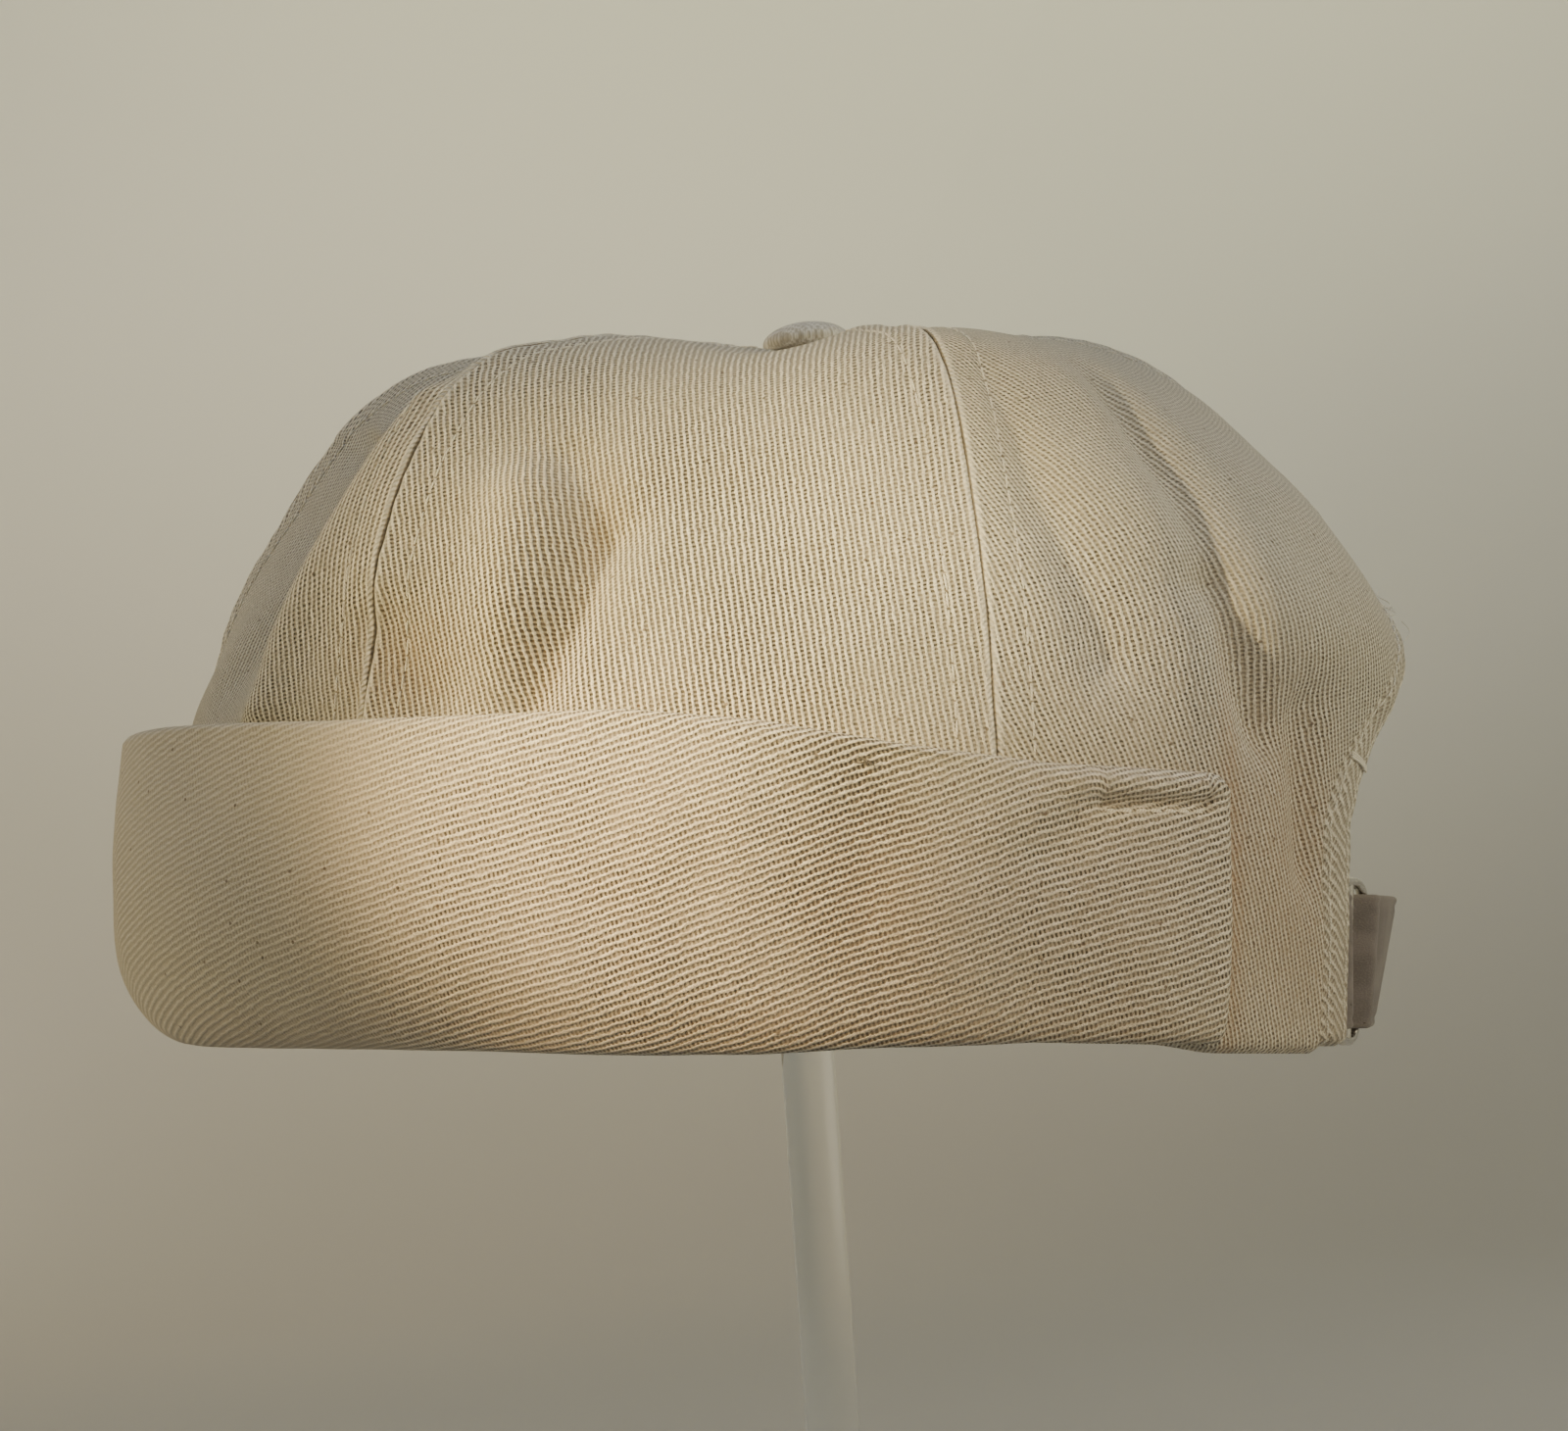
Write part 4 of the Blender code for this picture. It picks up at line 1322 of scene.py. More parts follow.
@dataclass
class BackOpening:
    """The arched opening at the back, between the binding's legs."""

    shape: CrownShape
    half_width: float = 32 * MM
    spring: float = 38 * MM
    top: float = 74.5 * MM
    power: float = 1.35
    leg_steps: int = 28
    arch_steps: int = 44

    def stations(self, margin: float, steps: int | None = None) -> tuple[np.ndarray, np.ndarray]:
        """Places up the left side of the opening to its top.

        Args:
            margin: How far the opening is widened.
            steps: How many steps the arch has, if not its own number.

        Returns:
            Offsets to the left and heights.
        """
        angle = np.linspace(0, math.pi / 2, (steps or self.arch_steps) + 1)
        half_width, top = self.half_width + margin, self.top + margin
        offsets = half_width * np.abs(np.cos(angle)) ** (2 / self.power)
        heights = self.spring + (top - self.spring) * np.sin(angle) ** (2 / self.power)
        rim = self.shape.height * CROWN_LEVELS[0].rear_height
        below = np.linspace(rim, self.spring, self.leg_steps + 1)[:-1]
        offsets = np.concatenate([np.full(self.leg_steps, half_width), offsets])
        return offsets, np.concatenate([below, heights])


# Stitches

@dataclass
class StitchRow:
    """Machine stitches along a path: short twisted threads that dip into the cloth at their ends."""

    pitch: float = 3.0 * MM
    length_share: float = 0.98
    half_width: float = 0.17 * MM
    half_height: float = 0.16 * MM
    dip: float = 0.24 * MM
    lift: float = 0.17 * MM
    sides: int = 6
    rings: int = 6
    seed: int = 5

    def parts(self, path: np.ndarray, normal: np.ndarray, start: float = 0.0) -> MeshParts:
        """Lays stitches along a path.

        Args:
            path: Points along the row, on the cloth.
            normal: The cloth's outward directions there.
            start: Where along the path the first stitch begins.

        Returns:
            The stitches, as separate closed threads in one mesh.
        """
        length = run_length(path)
        middles = np.arange(start + self.pitch / 2, length[-1] - self.pitch / 2, self.pitch)
        draw = np.random.default_rng(self.seed)
        place = read_path(path, length, middles)
        ahead = read_path(path, length, middles + self.pitch / 3)
        behind = read_path(path, length, middles - self.pitch / 3)
        up = unit(read_path(normal, length, middles))
        along = unit(ahead - behind)
        side = np.cross(up, along)
        skew = draw.normal(0, 0.05, (len(middles), 1))
        along = unit(along + side * skew)
        side = np.cross(up, along)
        half = self.pitch * self.length_share / 2 * draw.uniform(0.92, 1.06, (len(middles), 1))
        stations = np.linspace(-1, 1, self.rings)
        taper = np.sqrt(np.maximum(1 - np.abs(stations) ** 3, 0.04))
        around = np.linspace(0, math.tau, self.sides + 1)[:-1]
        rings = (
            place[:, None, None]
            + stations[None, :, None, None] * half[:, :, None, None] * along[:, None, None]
            + (self.lift - self.dip * stations**4)[None, :, None, None] * up[:, None, None]
            + (taper[:, None] * np.cos(around) * self.half_width)[None, ..., None] * side[:, None, None]
            + (taper[:, None] * np.sin(around) * self.half_height)[None, ..., None] * up[:, None, None]
        )
        flat = np.stack(np.meshgrid(np.linspace(0, 1, self.sides + 1), stations * self.pitch / 2), -1)
        return join_parts([lofted_bar(ring, flat) for ring in rings])


# The crown

@dataclass
class GoreSheet:
    """A gore's grid: its rows run up from the rim, and its columns from the first seam to the second.

    Attributes:
        rise: The rise of each row.
        turn: Turns in radians.
        level: Rises.
        distance: Distances from the first seam.
        from_end: Distances from the second seam.
        width: The width of each row.
        beside: Distances beside the gore's middle, on the unfolded outline.
        along: Distances up its middle.
    """

    rise: np.ndarray
    turn: np.ndarray
    level: np.ndarray
    distance: np.ndarray
    from_end: np.ndarray
    width: np.ndarray
    beside: np.ndarray
    along: np.ndarray


@dataclass
class Crown:
    """The six sewn gores, with turned edges, puffed seam allowances and rows of topstitching."""

    shape: CrownShape
    opening: BackOpening
    binding_width: float = 9.5 * MM
    seam_zone: float = 9.6 * MM
    zone_steps: int = 16
    middle_steps: int = 58
    rows: int = 150
    rows_over_arch: int = 76
    row_offset: float = 6.0 * MM
    allowance_puff: float = 0.32 * MM
    groove_depth: float = 0.26 * MM
    groove_width: float = 0.70 * MM
    edge_radius: float = 0.50 * MM
    edge_drop: float = 0.50
    ridge_height: float = 0.30 * MM
    fan: float = 0.26
    fan_level: float = 62 * MM
    fan_reach: float = 30 * MM
    back_lean: float = 0.12
    hem_roll: float = 2.6 * MM
    rim_drop: float = 1.2 * MM
    stitches: StitchRow = field(default_factory=StitchRow)
    lowest_stitch: float = 0.20
    highest_stitch: float = 0.965
    stitched_width: float = 17 * MM
    narrow: tuple[float, float] = (9 * MM, 22 * MM)
    measured_columns: int = 121
    measured_rows: int = 400

    def edges(self, gore: Gore) -> tuple[np.ndarray, np.ndarray, np.ndarray]:
        """The rises of a gore's rows and the turns of its two edges in each.

        Args:
            gore: The panel.

        Returns:
            The rises, the turns of the first edge and those of the second.
        """
        if 180 in (gore.start, gore.end):
            edge, rise = self.shape.back_place(*self.opening.stations(self.binding_width - CLEARANCE))
            above = np.linspace(rise[-1], 1, self.rows_over_arch + 1)[1:]
            rise = np.concatenate([rise, above])
            edge = np.concatenate([edge, np.full(above.shape, math.pi)])
        else:
            rise = np.linspace(0, 1, self.rows)
            edge = np.full(rise.shape, math.pi)
        start = self.trimmed(np.full(rise.shape, math.radians(gore.start)), rise, 1)
        end = self.trimmed(np.full(rise.shape, math.radians(gore.end)), rise, -1)
        if gore.end == 180:
            end = np.minimum(end, edge)
        if gore.start == 180:
            start = np.maximum(start, math.tau - edge)
        return rise, start, end

    def trimmed(self, turn: np.ndarray, rise: np.ndarray, side: int) -> np.ndarray:
        """The turn of a gore's edge, half a seam gap from the seam on one side of it.

        Args:
            turn: The seam's turns in radians.
            rise: Rises.
            side: 1 for the side of rising turns, otherwise -1.

        Returns:
            The edge's turns.
        """
        around = self.shape.outline(turn + SMALL_TURN, rise) - self.shape.outline(turn - SMALL_TURN, rise)
        return turn + side * SEAM_GAP * SMALL_TURN / np.linalg.norm(around, axis=-1)

    def columns(self, width: np.ndarray) -> np.ndarray:
        """Distances of a row's columns from its first edge, close together near both seams.

        Args:
            width: The width of each row.

        Returns:
            The distances, rows by columns.
        """
        zone = np.minimum(self.seam_zone, width * 0.36)[:, None]
        near = zone * np.linspace(0, 1, self.zone_steps + 1)
        middle = zone + (width[:, None] - 2 * zone) * np.linspace(0, 1, self.middle_steps + 1)[1:-1]
        return np.concatenate([near, middle, width[:, None] - near[:, ::-1]], axis=1)

    def relief(self, distance: np.ndarray, along: np.ndarray, seam: np.ndarray, seed: int) -> np.ndarray:
        """How far the turned edge, the allowance under the cloth and the stitch row move the cloth.

        Args:
            distance: Distances from the seam.
            along: Places along it.
            seam: 1 where the seam is sewn, 0 where the edge runs under the binding.
            seed: What sets the puckers.

        Returns:
            The heights.
        """
        inside = np.clip(1 - distance / self.edge_radius, 0, 1)
        turned = -self.edge_drop * self.edge_radius * (1 - np.sqrt(np.maximum(1 - inside**2, 0)))
        pucker = Ripple(5.2 * MM, 0.32, seed, 5).at(along, distance * 0.25)
        under = 1 - ease(distance, self.row_offset - 1.6 * MM, self.row_offset + 2.2 * MM)
        puff = self.allowance_puff * (1 + pucker) * under
        groove = -self.groove_depth * (1 + 0.4 * pucker) * bell(distance - self.row_offset, self.groove_width)
        ridge = self.ridge_height * bell(distance - 0.7 * MM, 0.7 * MM)
        return seam * (puff + groove + ridge) + turned

    def sheet(self, gore: Gore) -> GoreSheet:
        """Lays out the grid of a gore.

        Args:
            gore: The panel.

        Returns:
            Its grid.
        """
        shape = self.shape
        rise, start, end = self.edges(gore)
        turns = start[:, None] + (end - start)[:, None] * np.linspace(0, 1, self.measured_columns)
        rises = np.repeat(rise[:, None], turns.shape[1], axis=1)
        length = run_length(shape.point(turns, rises), axis=1)
        width = length[:, -1:]
        distance = self.columns(length[:, -1])
        turn = np.array([np.interp(d, l, t) for d, l, t in zip(distance, length, turns)])
        middle = math.radians((gore.start + gore.end) / 2)
        plain = run_length(shape.outline(turns, rises), axis=1)
        beside = np.array([np.interp(t, known, l) for t, known, l in zip(turn, turns, plain)])
        beside -= np.array([np.interp(middle, known, l) for known, l in zip(turns, plain)])[:, None]
        measured = np.linspace(0, 1, self.measured_rows)
        up = run_length(shape.point(np.full(self.measured_rows, middle), measured))
        return GoreSheet(
            rise=rise,
            turn=turn,
            level=np.repeat(rise[:, None], turn.shape[1], axis=1),
            distance=distance,
            from_end=width - distance,
            width=width,
            beside=beside,
            along=np.repeat(np.interp(rise, measured, up)[:, None], turn.shape[1], axis=1),
        )

    def ribs(self, gore: Gore, sheet: GoreSheet) -> np.ndarray:
        """The cloth coordinates of a gore, whose ribs fan out low down beside its first seam.

        Args:
            gore: The panel.
            sheet: Its grid.

        Returns:
            The coordinates in metres, with a last axis of 2.
        """
        low = np.clip(1 - sheet.along / self.fan_level, 0, 1)
        lean = -self.fan * self.fan_level * bell(sheet.distance, self.fan_reach) * low**1.6
        if 180 in (gore.start, gore.end):
            lean = lean + self.back_lean * (sheet.along - self.fan_level)
        return np.stack([sheet.beside + lean, sheet.along], -1)

    def sewn_rows(self, gore: Gore, sheet: GoreSheet) -> list[np.ndarray]:
        """Which rows are sewn at a gore's first and second edge: not those beside the opening.

        Args:
            gore: The panel.
            sheet: Its grid.

        Returns:
            For each edge, True in the rows that are sewn.
        """
        top = self.shape.back_place(0.0, self.opening.top + self.binding_width)[1]
        over_arch = (sheet.rise >= top)[:, None]
        return [np.where(edge == 180, over_arch, True) for edge in (gore.start, gore.end)]

    def faces(
        self, sheet: GoreSheet, sewn: list[np.ndarray], seed: int
    ) -> tuple[np.ndarray, np.ndarray, np.ndarray]:
        """Shapes a gore's cloth.

        Args:
            sheet: Its grid.
            sewn: Which rows are sewn at its two edges.
            seed: What sets its puckers.

        Returns:
            The points of its outer and its inner face, and the outer face's normals.
        """
        shape = self.shape
        fade = ease(sheet.width, *self.narrow)
        lift = fade * self.relief(sheet.distance, sheet.along, sewn[0], seed)
        lift = lift + fade * self.relief(sheet.from_end, sheet.along + 50 * MM, sewn[1], seed + 1)
        swelling = Ripple(26 * MM, 0.28 * MM, seed + 2).at(sheet.beside, sheet.along)
        lift = lift + swelling * ease(sheet.width, 20 * MM, 50 * MM)
        lift = lift + shape.creases(sheet.turn, sheet.level)
        normal = shape.normal(sheet.turn, sheet.level)
        face = shape.point(sheet.turn, sheet.level) + normal * lift[..., None]
        rolled = np.clip(1 - (sheet.along - sheet.along[0]) / self.hem_roll, 0, 1)
        inward = self.hem_roll * (1 - np.sqrt(np.maximum(1 - rolled**2, 0))) * 0.75
        face = face - normal * inward[..., None]
        bare_hem = ease(from_front(sheet.turn), 132, 140) * (1 - ease(sheet.along, 0, 14 * MM))
        face[..., 2] -= self.rim_drop * bare_hem
        outward = unit(np.cross(np.gradient(face, axis=1), np.gradient(face, axis=0)))
        blend = ease(np.minimum(sheet.distance, sheet.from_end), 0, 2.0 * MM)[..., None]
        through = unit(outward * blend + normal * (1 - blend))
        return face, face - through * CLOTH * (0.45 + 0.55 * blend), outward

    def make_gore(self, gore: Gore, seed: int) -> tuple[MeshParts, list[MeshParts]]:
        """Builds one gore and its stitches.

        Args:
            gore: The panel.
            seed: What sets its puckers.

        Returns:
            The cloth and the stitch rows.
        """
        sheet = self.sheet(gore)
        sewn = self.sewn_rows(gore, sheet)
        face, back, outward = self.faces(sheet, sewn, seed)
        column = int(round(self.zone_steps * self.row_offset / self.seam_zone))
        places = (column, -1 - column)
        runs = [run_length(face[:, place]) for place in places]
        first_half = sheet.distance < sheet.from_end
        nearest = np.where(first_half, sheet.distance, sheet.from_end)
        held = np.where(first_half, sewn[0], sewn[1]) * (ease(sheet.width, *self.narrow) > 0.5)
        along_row = np.where(first_half, runs[0][:, None], runs[1][:, None]) / self.stitches.pitch
        seam = np.stack([along_row, np.where(held, (nearest - self.row_offset) / MM, 9.0)], -1)
        values = {
            "soil": self.shape.soil_and_painted_shade_map(sheet.turn, sheet.level),
            "worn": self.shape.nap_and_painted_shade_map(sheet.turn, sheet.level),
        }
        cloth = cloth_shell(face, back, self.ribs(gore, sheet), layers={"Seam": seam}, values=values)
        rows = []
        for place, sewn_here, run in zip(places, sewn, runs):
            chosen = (sheet.rise > self.lowest_stitch) & (sheet.rise < self.highest_stitch)
            chosen = chosen & (sheet.width[:, 0] > self.stitched_width) & sewn_here[:, 0]
            skip = -run[chosen][0] % self.stitches.pitch
            rows.append(self.stitches.parts(face[chosen, place], outward[chosen, place], skip))
        return cloth, rows

    def build(self, cloth: bpy.types.Material, thread: bpy.types.Material) -> None:
        """Makes the gores and their stitches.

        Args:
            cloth: The twill.
            thread: The sewing thread.
        """
        rows = []
        for number, gore in enumerate(GORES):
            parts, stitches = self.make_gore(gore, 20 + 7 * number)
            place_piece("gore_" + gore.name, parts, cloth, "twill", "crown_panel_" + gore.name)
            rows += stitches
        place_piece("seam_stitches", join_parts(rows), thread, "twill")


# The cuff

@dataclass(frozen=True)
class CuffSection:
    """The cuff at one turn, in degrees: its sizes are shares of the crown's height."""

    turn: float
    height: float
    lift: float
    belly: float
    top: float


CUFF_SECTIONS = [
    CuffSection(0, 0.4434, 0.0161, 0.0779, 0.0659),
    CuffSection(25, 0.4418, 0.0161, 0.0819, 0.0675),
    CuffSection(45, 0.4337, 0.0161, 0.0787, 0.0659),
    CuffSection(60, 0.4353, 0.0161, 0.0675, 0.0578),
    CuffSection(75, 0.4403, 0.0145, 0.0498, 0.0434),
    CuffSection(90, 0.4252, 0.0145, 0.0353, 0.0337),
    CuffSection(105, 0.3961, 0.0241, 0.0273, 0.0265),
    CuffSection(120, 0.3735, 0.0273, 0.0233, 0.0225),
    CuffSection(139, 0.3647, 0.0257, 0.0217, 0.0209),
]


@dataclass(frozen=True)
class Swell:
    """A swell or dent in the cuff between two places, given as turns in degrees and heights."""

    start: Spot
    end: Spot
    half_width: float
    height: float


@dataclass
class Cuff:
    """The turned-up cuff: a doubled band that stands off the crown, tacked down near each end."""

    shape: CrownShape
    thickness: float = 3.0 * MM
    corner: float = 16 * MM
    end_turn: float = math.radians(139)
    stations: int = 400
    corner_steps: int = 14
    wall_steps: int = 56
    edge_steps: int = 8
    end_corner: float = 3.5 * MM
    radian: float = 92 * MM
    swells: tuple[Swell, ...] = (
        Swell((76, 22 * MM), (82, 34 * MM), 20 * MM, 0.8 * MM),
        Swell((100, 14 * MM), (102, 36 * MM), 10 * MM, -1.3 * MM),
        Swell((125.5, 40.2 * MM), (136, 40.6 * MM), 1.1 * MM, -2.4 * MM),
        Swell((123, 43.4 * MM), (137.5, 43.6 * MM), 2.2 * MM, 1.3 * MM),
        Swell((124.8, 38.6 * MM), (120.5, 33 * MM), 4.2 * MM, -1.4 * MM),
        Swell((120.5, 42.5 * MM), (114.5, 36 * MM), 4.0 * MM, 0.8 * MM),
        Swell((111.5, 16 * MM), (111.5, 24 * MM), 9.0 * MM, 0.5 * MM),
    )
    soil_and_shade_place: tuple[float, float] = (math.radians(101), 26 * MM)
    slub_place: tuple[float, float] = (math.radians(101.5), 46.2 * MM)
    tack_start: float = math.radians(125.5)
    tack_end: float = math.radians(136)
    tack_height: float = 39.2 * MM
    tack: StitchRow = field(
        default_factory=lambda: StitchRow(
            pitch=2.5 * MM,
            length_share=0.86,
            half_width=0.33 * MM,
            half_height=0.26 * MM,
            dip=0.35 * MM,
            lift=0.12 * MM,
            seed=61,
        )
    )

    def column(self, name: str, turn: float) -> float:
        """One column of the sections at a turn, the same on both sides.

        Args:
            name: The column's name.
            turn: The turn in radians.

        Returns:
            The value in metres.
        """
        turns = [section.turn for section in CUFF_SECTIONS]
        shares = [getattr(section, name) for section in CUFF_SECTIONS]
        return float(np.interp(abs(math.degrees(turn)), turns, shares)) * self.shape.height

    def middle_line(self, turn: float) -> np.ndarray:
        """The middle of the cuff's cloth at one turn, as distances off the crown and heights.

        Args:
            turn: The turn in radians.

        Returns:
            The line's points, from the lower fold to the top edge.
        """
        half = self.thickness / 2
        belly, top, height, lift = (self.column(name, turn) for name in ("belly", "top", "height", "lift"))
        foot = CLEARANCE + half
        roundness = (belly - foot) / (self.column("belly", 0.0) - foot)
        corner_height = max(self.corner * roundness, self.thickness)
        line = [
            (foot + (belly - foot) * math.sin(angle), lift + half + corner_height * (1 - math.cos(angle)))
            for angle in np.linspace(0, math.pi / 2, self.corner_steps + 1)
        ]
        start, end = line[-1][1], height - half
        for share in np.linspace(0, 1, self.wall_steps + 1)[1:]:
            line.append((belly + (top - belly) * share**2, start + (end - start) * share))
        return np.array(line)

    def relief(self, turn: float, heights: np.ndarray) -> np.ndarray:
        """How far swells and dents move the cuff's outer face at one turn.

        Args:
            turn: The turn in radians.
            heights: Heights on the face.

        Returns:
            How far out the face moves.
        """
        total = Ripple(38 * MM, 0.35 * MM, 91).at(np.full(heights.shape, turn * self.radian), heights)
        total = total + Ripple(13 * MM, 0.08 * MM, 92).at(np.full(heights.shape, turn * self.radian), heights)
        for swell in self.swells:
            for mirror in (1, -1):
                ends = [
                    np.array([math.radians(spot[0]) * mirror * self.radian, spot[1]])
                    for spot in (swell.start, swell.end)
                ]
                away = line_distance(turn * self.radian, heights, *ends)
                total = total + swell.height * bell(away, swell.half_width)
        return total

    def ring(self, turn: float) -> tuple[np.ndarray, np.ndarray]:
        """The cuff's section at one turn.

        Args:
            turn: The turn in radians.

        Returns:
            The points round the section, and how far each lies along it.
        """
        half = self.thickness / 2
        from_end = (self.end_turn - abs(turn)) * self.radian
        closing = math.sqrt(max(1 - max(1 - from_end / half, 0) ** 2, 0.03))
        half = half * closing
        line = self.middle_line(turn)
        corner = max(1 - from_end / self.end_corner, 0)
        shorten = self.end_corner * (1 - math.sqrt(max(1 - corner**2, 0)))
        line[:, 1] -= shorten * ease(line[:, 1], line[-1, 1] - 12 * MM, line[-1, 1])
        slope = np.gradient(line, axis=0)
        across = np.stack([slope[:, 1], -slope[:, 0]], -1) / np.linalg.norm(slope, axis=1, keepdims=True)
        up = slope[-1] / np.linalg.norm(slope[-1])
        cap = [
            line[-1] + half * (across[-1] * math.cos(angle) + up * math.sin(angle))
            for angle in np.linspace(0, math.pi, self.edge_steps + 1)[1:-1]
        ]
        raised = half + self.relief(turn, line[:, 1]) * ease(line[:, 0], CLEARANCE, 4 * MM)
        section = np.concatenate([line + across * raised[:, None], cap, (line - across * half)[::-1]])
        rises = self.shape.placed_rises
        heights = self.shape.outline(np.full(rises.shape, turn), rises)[:, 2]
        rise = np.interp(section[:, 1], heights, rises)
        turns = np.full(rise.shape, turn)
        outward = unit(self.shape.normal(turns, rise) * (1, 1, 0))
        points = self.shape.outline(turns, rise) + outward * section[:, :1]
        points[:, 2] = section[:, 1]
        return points, run_length(section)

    def soil_and_painted_shade_map(self, turns: np.ndarray, heights: np.ndarray) -> np.ndarray:
        """How strongly the cuff is painted brown: darker along its lower fold, with painted shade and a
        little dirt in the dent near 101 degrees.

        Args:
            turns: Turns in radians.
            heights: Heights.

        Returns:
            The strength, from 0 to 1.
        """
        wander = Ripple(30 * MM, 0.25, 17).at(turns * self.radian, heights)
        low = 0.12 * (1 + wander) * (1 - ease(heights, 3 * MM, 14 * MM))
        # painted shade with a little dirt, in the dent near 101 degrees
        beside = (np.abs(turns) - self.soil_and_shade_place[0]) * self.radian / (9 * MM)
        worn = 0.12 * np.exp(-(beside**2) - ((heights - self.soil_and_shade_place[1]) / (15 * MM)) ** 2)
        return np.clip(low + worn + 0.05 * wander, 0, 1)

    def face_point(self, turn: float, height: float) -> np.ndarray:
        """The point of the cuff's outer face at a turn and a height."""
        outer = self.ring(turn)[0][:self.corner_steps + self.wall_steps + 1]
        return read_path(outer, outer[:, 2], height)

    def tack_stitches(self) -> MeshParts:
        """The short row of stitches near each end that tacks the cuff down."""
        rows = []
        for mirror in (1, -1):
            turns = np.linspace(self.tack_start, self.tack_end, 24) * mirror
            path = np.array([self.face_point(turn, self.tack_height) for turn in turns])
            beside = np.array([self.face_point(turn, self.tack_height + MM) for turn in turns])
            normal = unit(np.cross(np.gradient(path, axis=0), beside - path)) * mirror
            rows.append(self.tack.parts(path, normal))
        return join_parts(rows)

    def slub(self) -> MeshParts:
        """A small knot of dark fibres near the cuff's top edge."""
        place = self.face_point(*self.slub_place)
        outward = unit(place * (1, 1, 0))
        sideways = np.cross((0, 0, 1), outward)
        draw = np.random.default_rng(8)
        fibres = []
        for _ in range(7):
            steps = np.linspace(-1, 1, 9)[:, None]
            lean = draw.uniform(-0.7, 0.7)
            run = sideways * math.cos(lean) + np.array([0, 0, math.sin(lean)])
            bend = draw.uniform(-0.5, 0.5) * MM
            path = place + steps * draw.uniform(0.5, 1.5) * MM * run + outward * 0.14 * MM
            path = path + steps**2 * bend * np.array([0, 0, 1]) + draw.normal(0, 0.25 * MM, 3)
            fibres.append(round_wire(path, np.full(9, 0.09 * MM), 5, False))
        return join_parts(fibres)

    def build(self, cloth: bpy.types.Material, thread: bpy.types.Material, slub: bpy.types.Material) -> None:
        """Makes the cuff, its tack stitches and the slub.

        Args:
            cloth: The twill.
            thread: The sewing thread.
            slub: The dark fibres of the slub.
        """
        inner = self.end_turn - 3.4 * self.thickness / 2 / self.radian
        end = np.linspace(inner, self.end_turn, 14)[1:]
        turns = np.concatenate([-end[::-1], np.linspace(-inner, inner, self.stations), end])
        rings, run = zip(*(self.ring(turn) for turn in turns))
        rings, run = np.array(rings), np.array(run)
        outer = rings[:, self.corner_steps]
        along = run_length(outer)
        along -= along[len(along) // 2]
        run = np.concatenate([run, run[:, -1:] + self.thickness], axis=1)
        flat = np.stack([np.repeat(along[:, None], run.shape[1], axis=1), run], -1)
        soil = self.soil_and_painted_shade_map(np.repeat(turns[:, None], rings.shape[1], axis=1), rings[..., 2])
        around = np.abs(np.degrees(turns))
        # nap at the front; painted shade in the weave's gaps where the cuff is brightest, near 80 degrees,
        # and deeper painted shade in the dent near 101 degrees
        worn = 0.85 * (1 - ease(around, 44, 62)) - 0.40 * bell(around - 80, 16) - 0.75 * bell(around - 101, 8)
        worn = np.repeat(worn[:, None], rings.shape[1], axis=1)
        parts = lofted_bar(rings, flat, values={"soil": soil, "worn": worn})
        place_piece("cuff_cloth", parts, cloth, "twill", "cuff")
        place_piece("tack_stitches", self.tack_stitches(), thread, "twill")
        place_piece("cuff_slub", self.slub(), slub, "twill")


# The button on top

@dataclass
class TopButton:
    """The covered button, its cloth drawn in under the edge, on its shank."""

    shape: CrownShape
    radius: float = 7.9 * MM
    height: float = 5.2 * MM
    foot_share: float = 0.8
    edge_share: float = 0.3
    tilt: float = math.radians(6)
    shank_radius: float = 4.2 * MM
    shank_length: float = 4.5 * MM
    steps: int = 72
    pleats: int = 22
    pleat_depth: float = 0.10 * MM

    def seat(self) -> float:
        """The height of the middle of the button's foot."""
        ring = self.shape.point(np.linspace(0, math.tau, 73), np.full(73, 1.0))
        return ring[:, 2].max() + CLEARANCE + self.radius * self.foot_share * math.sin(self.tilt)

    def build(self, cloth: bpy.types.Material) -> None:
        """Makes the button.

        Args:
            cloth: The twill.
        """
        edge_height = self.height * self.edge_share
        reach = self.radius * self.foot_share
        under = [
            (self.radius - (self.radius - reach) * (1 - math.sin(angle)), edge_height * (1 - math.cos(angle)))
            for angle in np.linspace(0, math.pi / 2, 7)
        ]
        dome = [
            (self.radius * math.cos(angle), edge_height + (self.height - edge_height) * math.sin(angle))
            for angle in np.linspace(0, math.pi / 2, 16)
        ]
        profile = [(0, -self.shank_length), (self.shank_radius, -self.shank_length), (self.shank_radius, 0)]
        profile += under + dome[1:-1] + [(0, self.height)]
        parts = turned_solid(profile, self.steps)
        radius = np.hypot(parts.points[:, 0], parts.points[:, 1])
        angle = np.arctan2(parts.points[:, 1], parts.points[:, 0])
        drawn_in = bell(parts.points[:, 2], edge_height) * ease(radius, reach * 0.9, self.radius)
        pleated = 1 + np.cos(self.pleats * angle + 2 * np.sin(3 * angle))
        pull = 1 - self.pleat_depth / self.radius * drawn_in * pleated
        parts.points[:, :2] *= pull[:, None]
        parts.values["soil"] = np.zeros(len(parts.points))
        place = hat_frame() @ Matrix.Translation((0, 0, self.seat())) @ Matrix.Rotation(self.tilt, 4, "X")
        place_piece("button_cover", parts, cloth, "twill", "crown_button", where=place)


# The binding round the opening

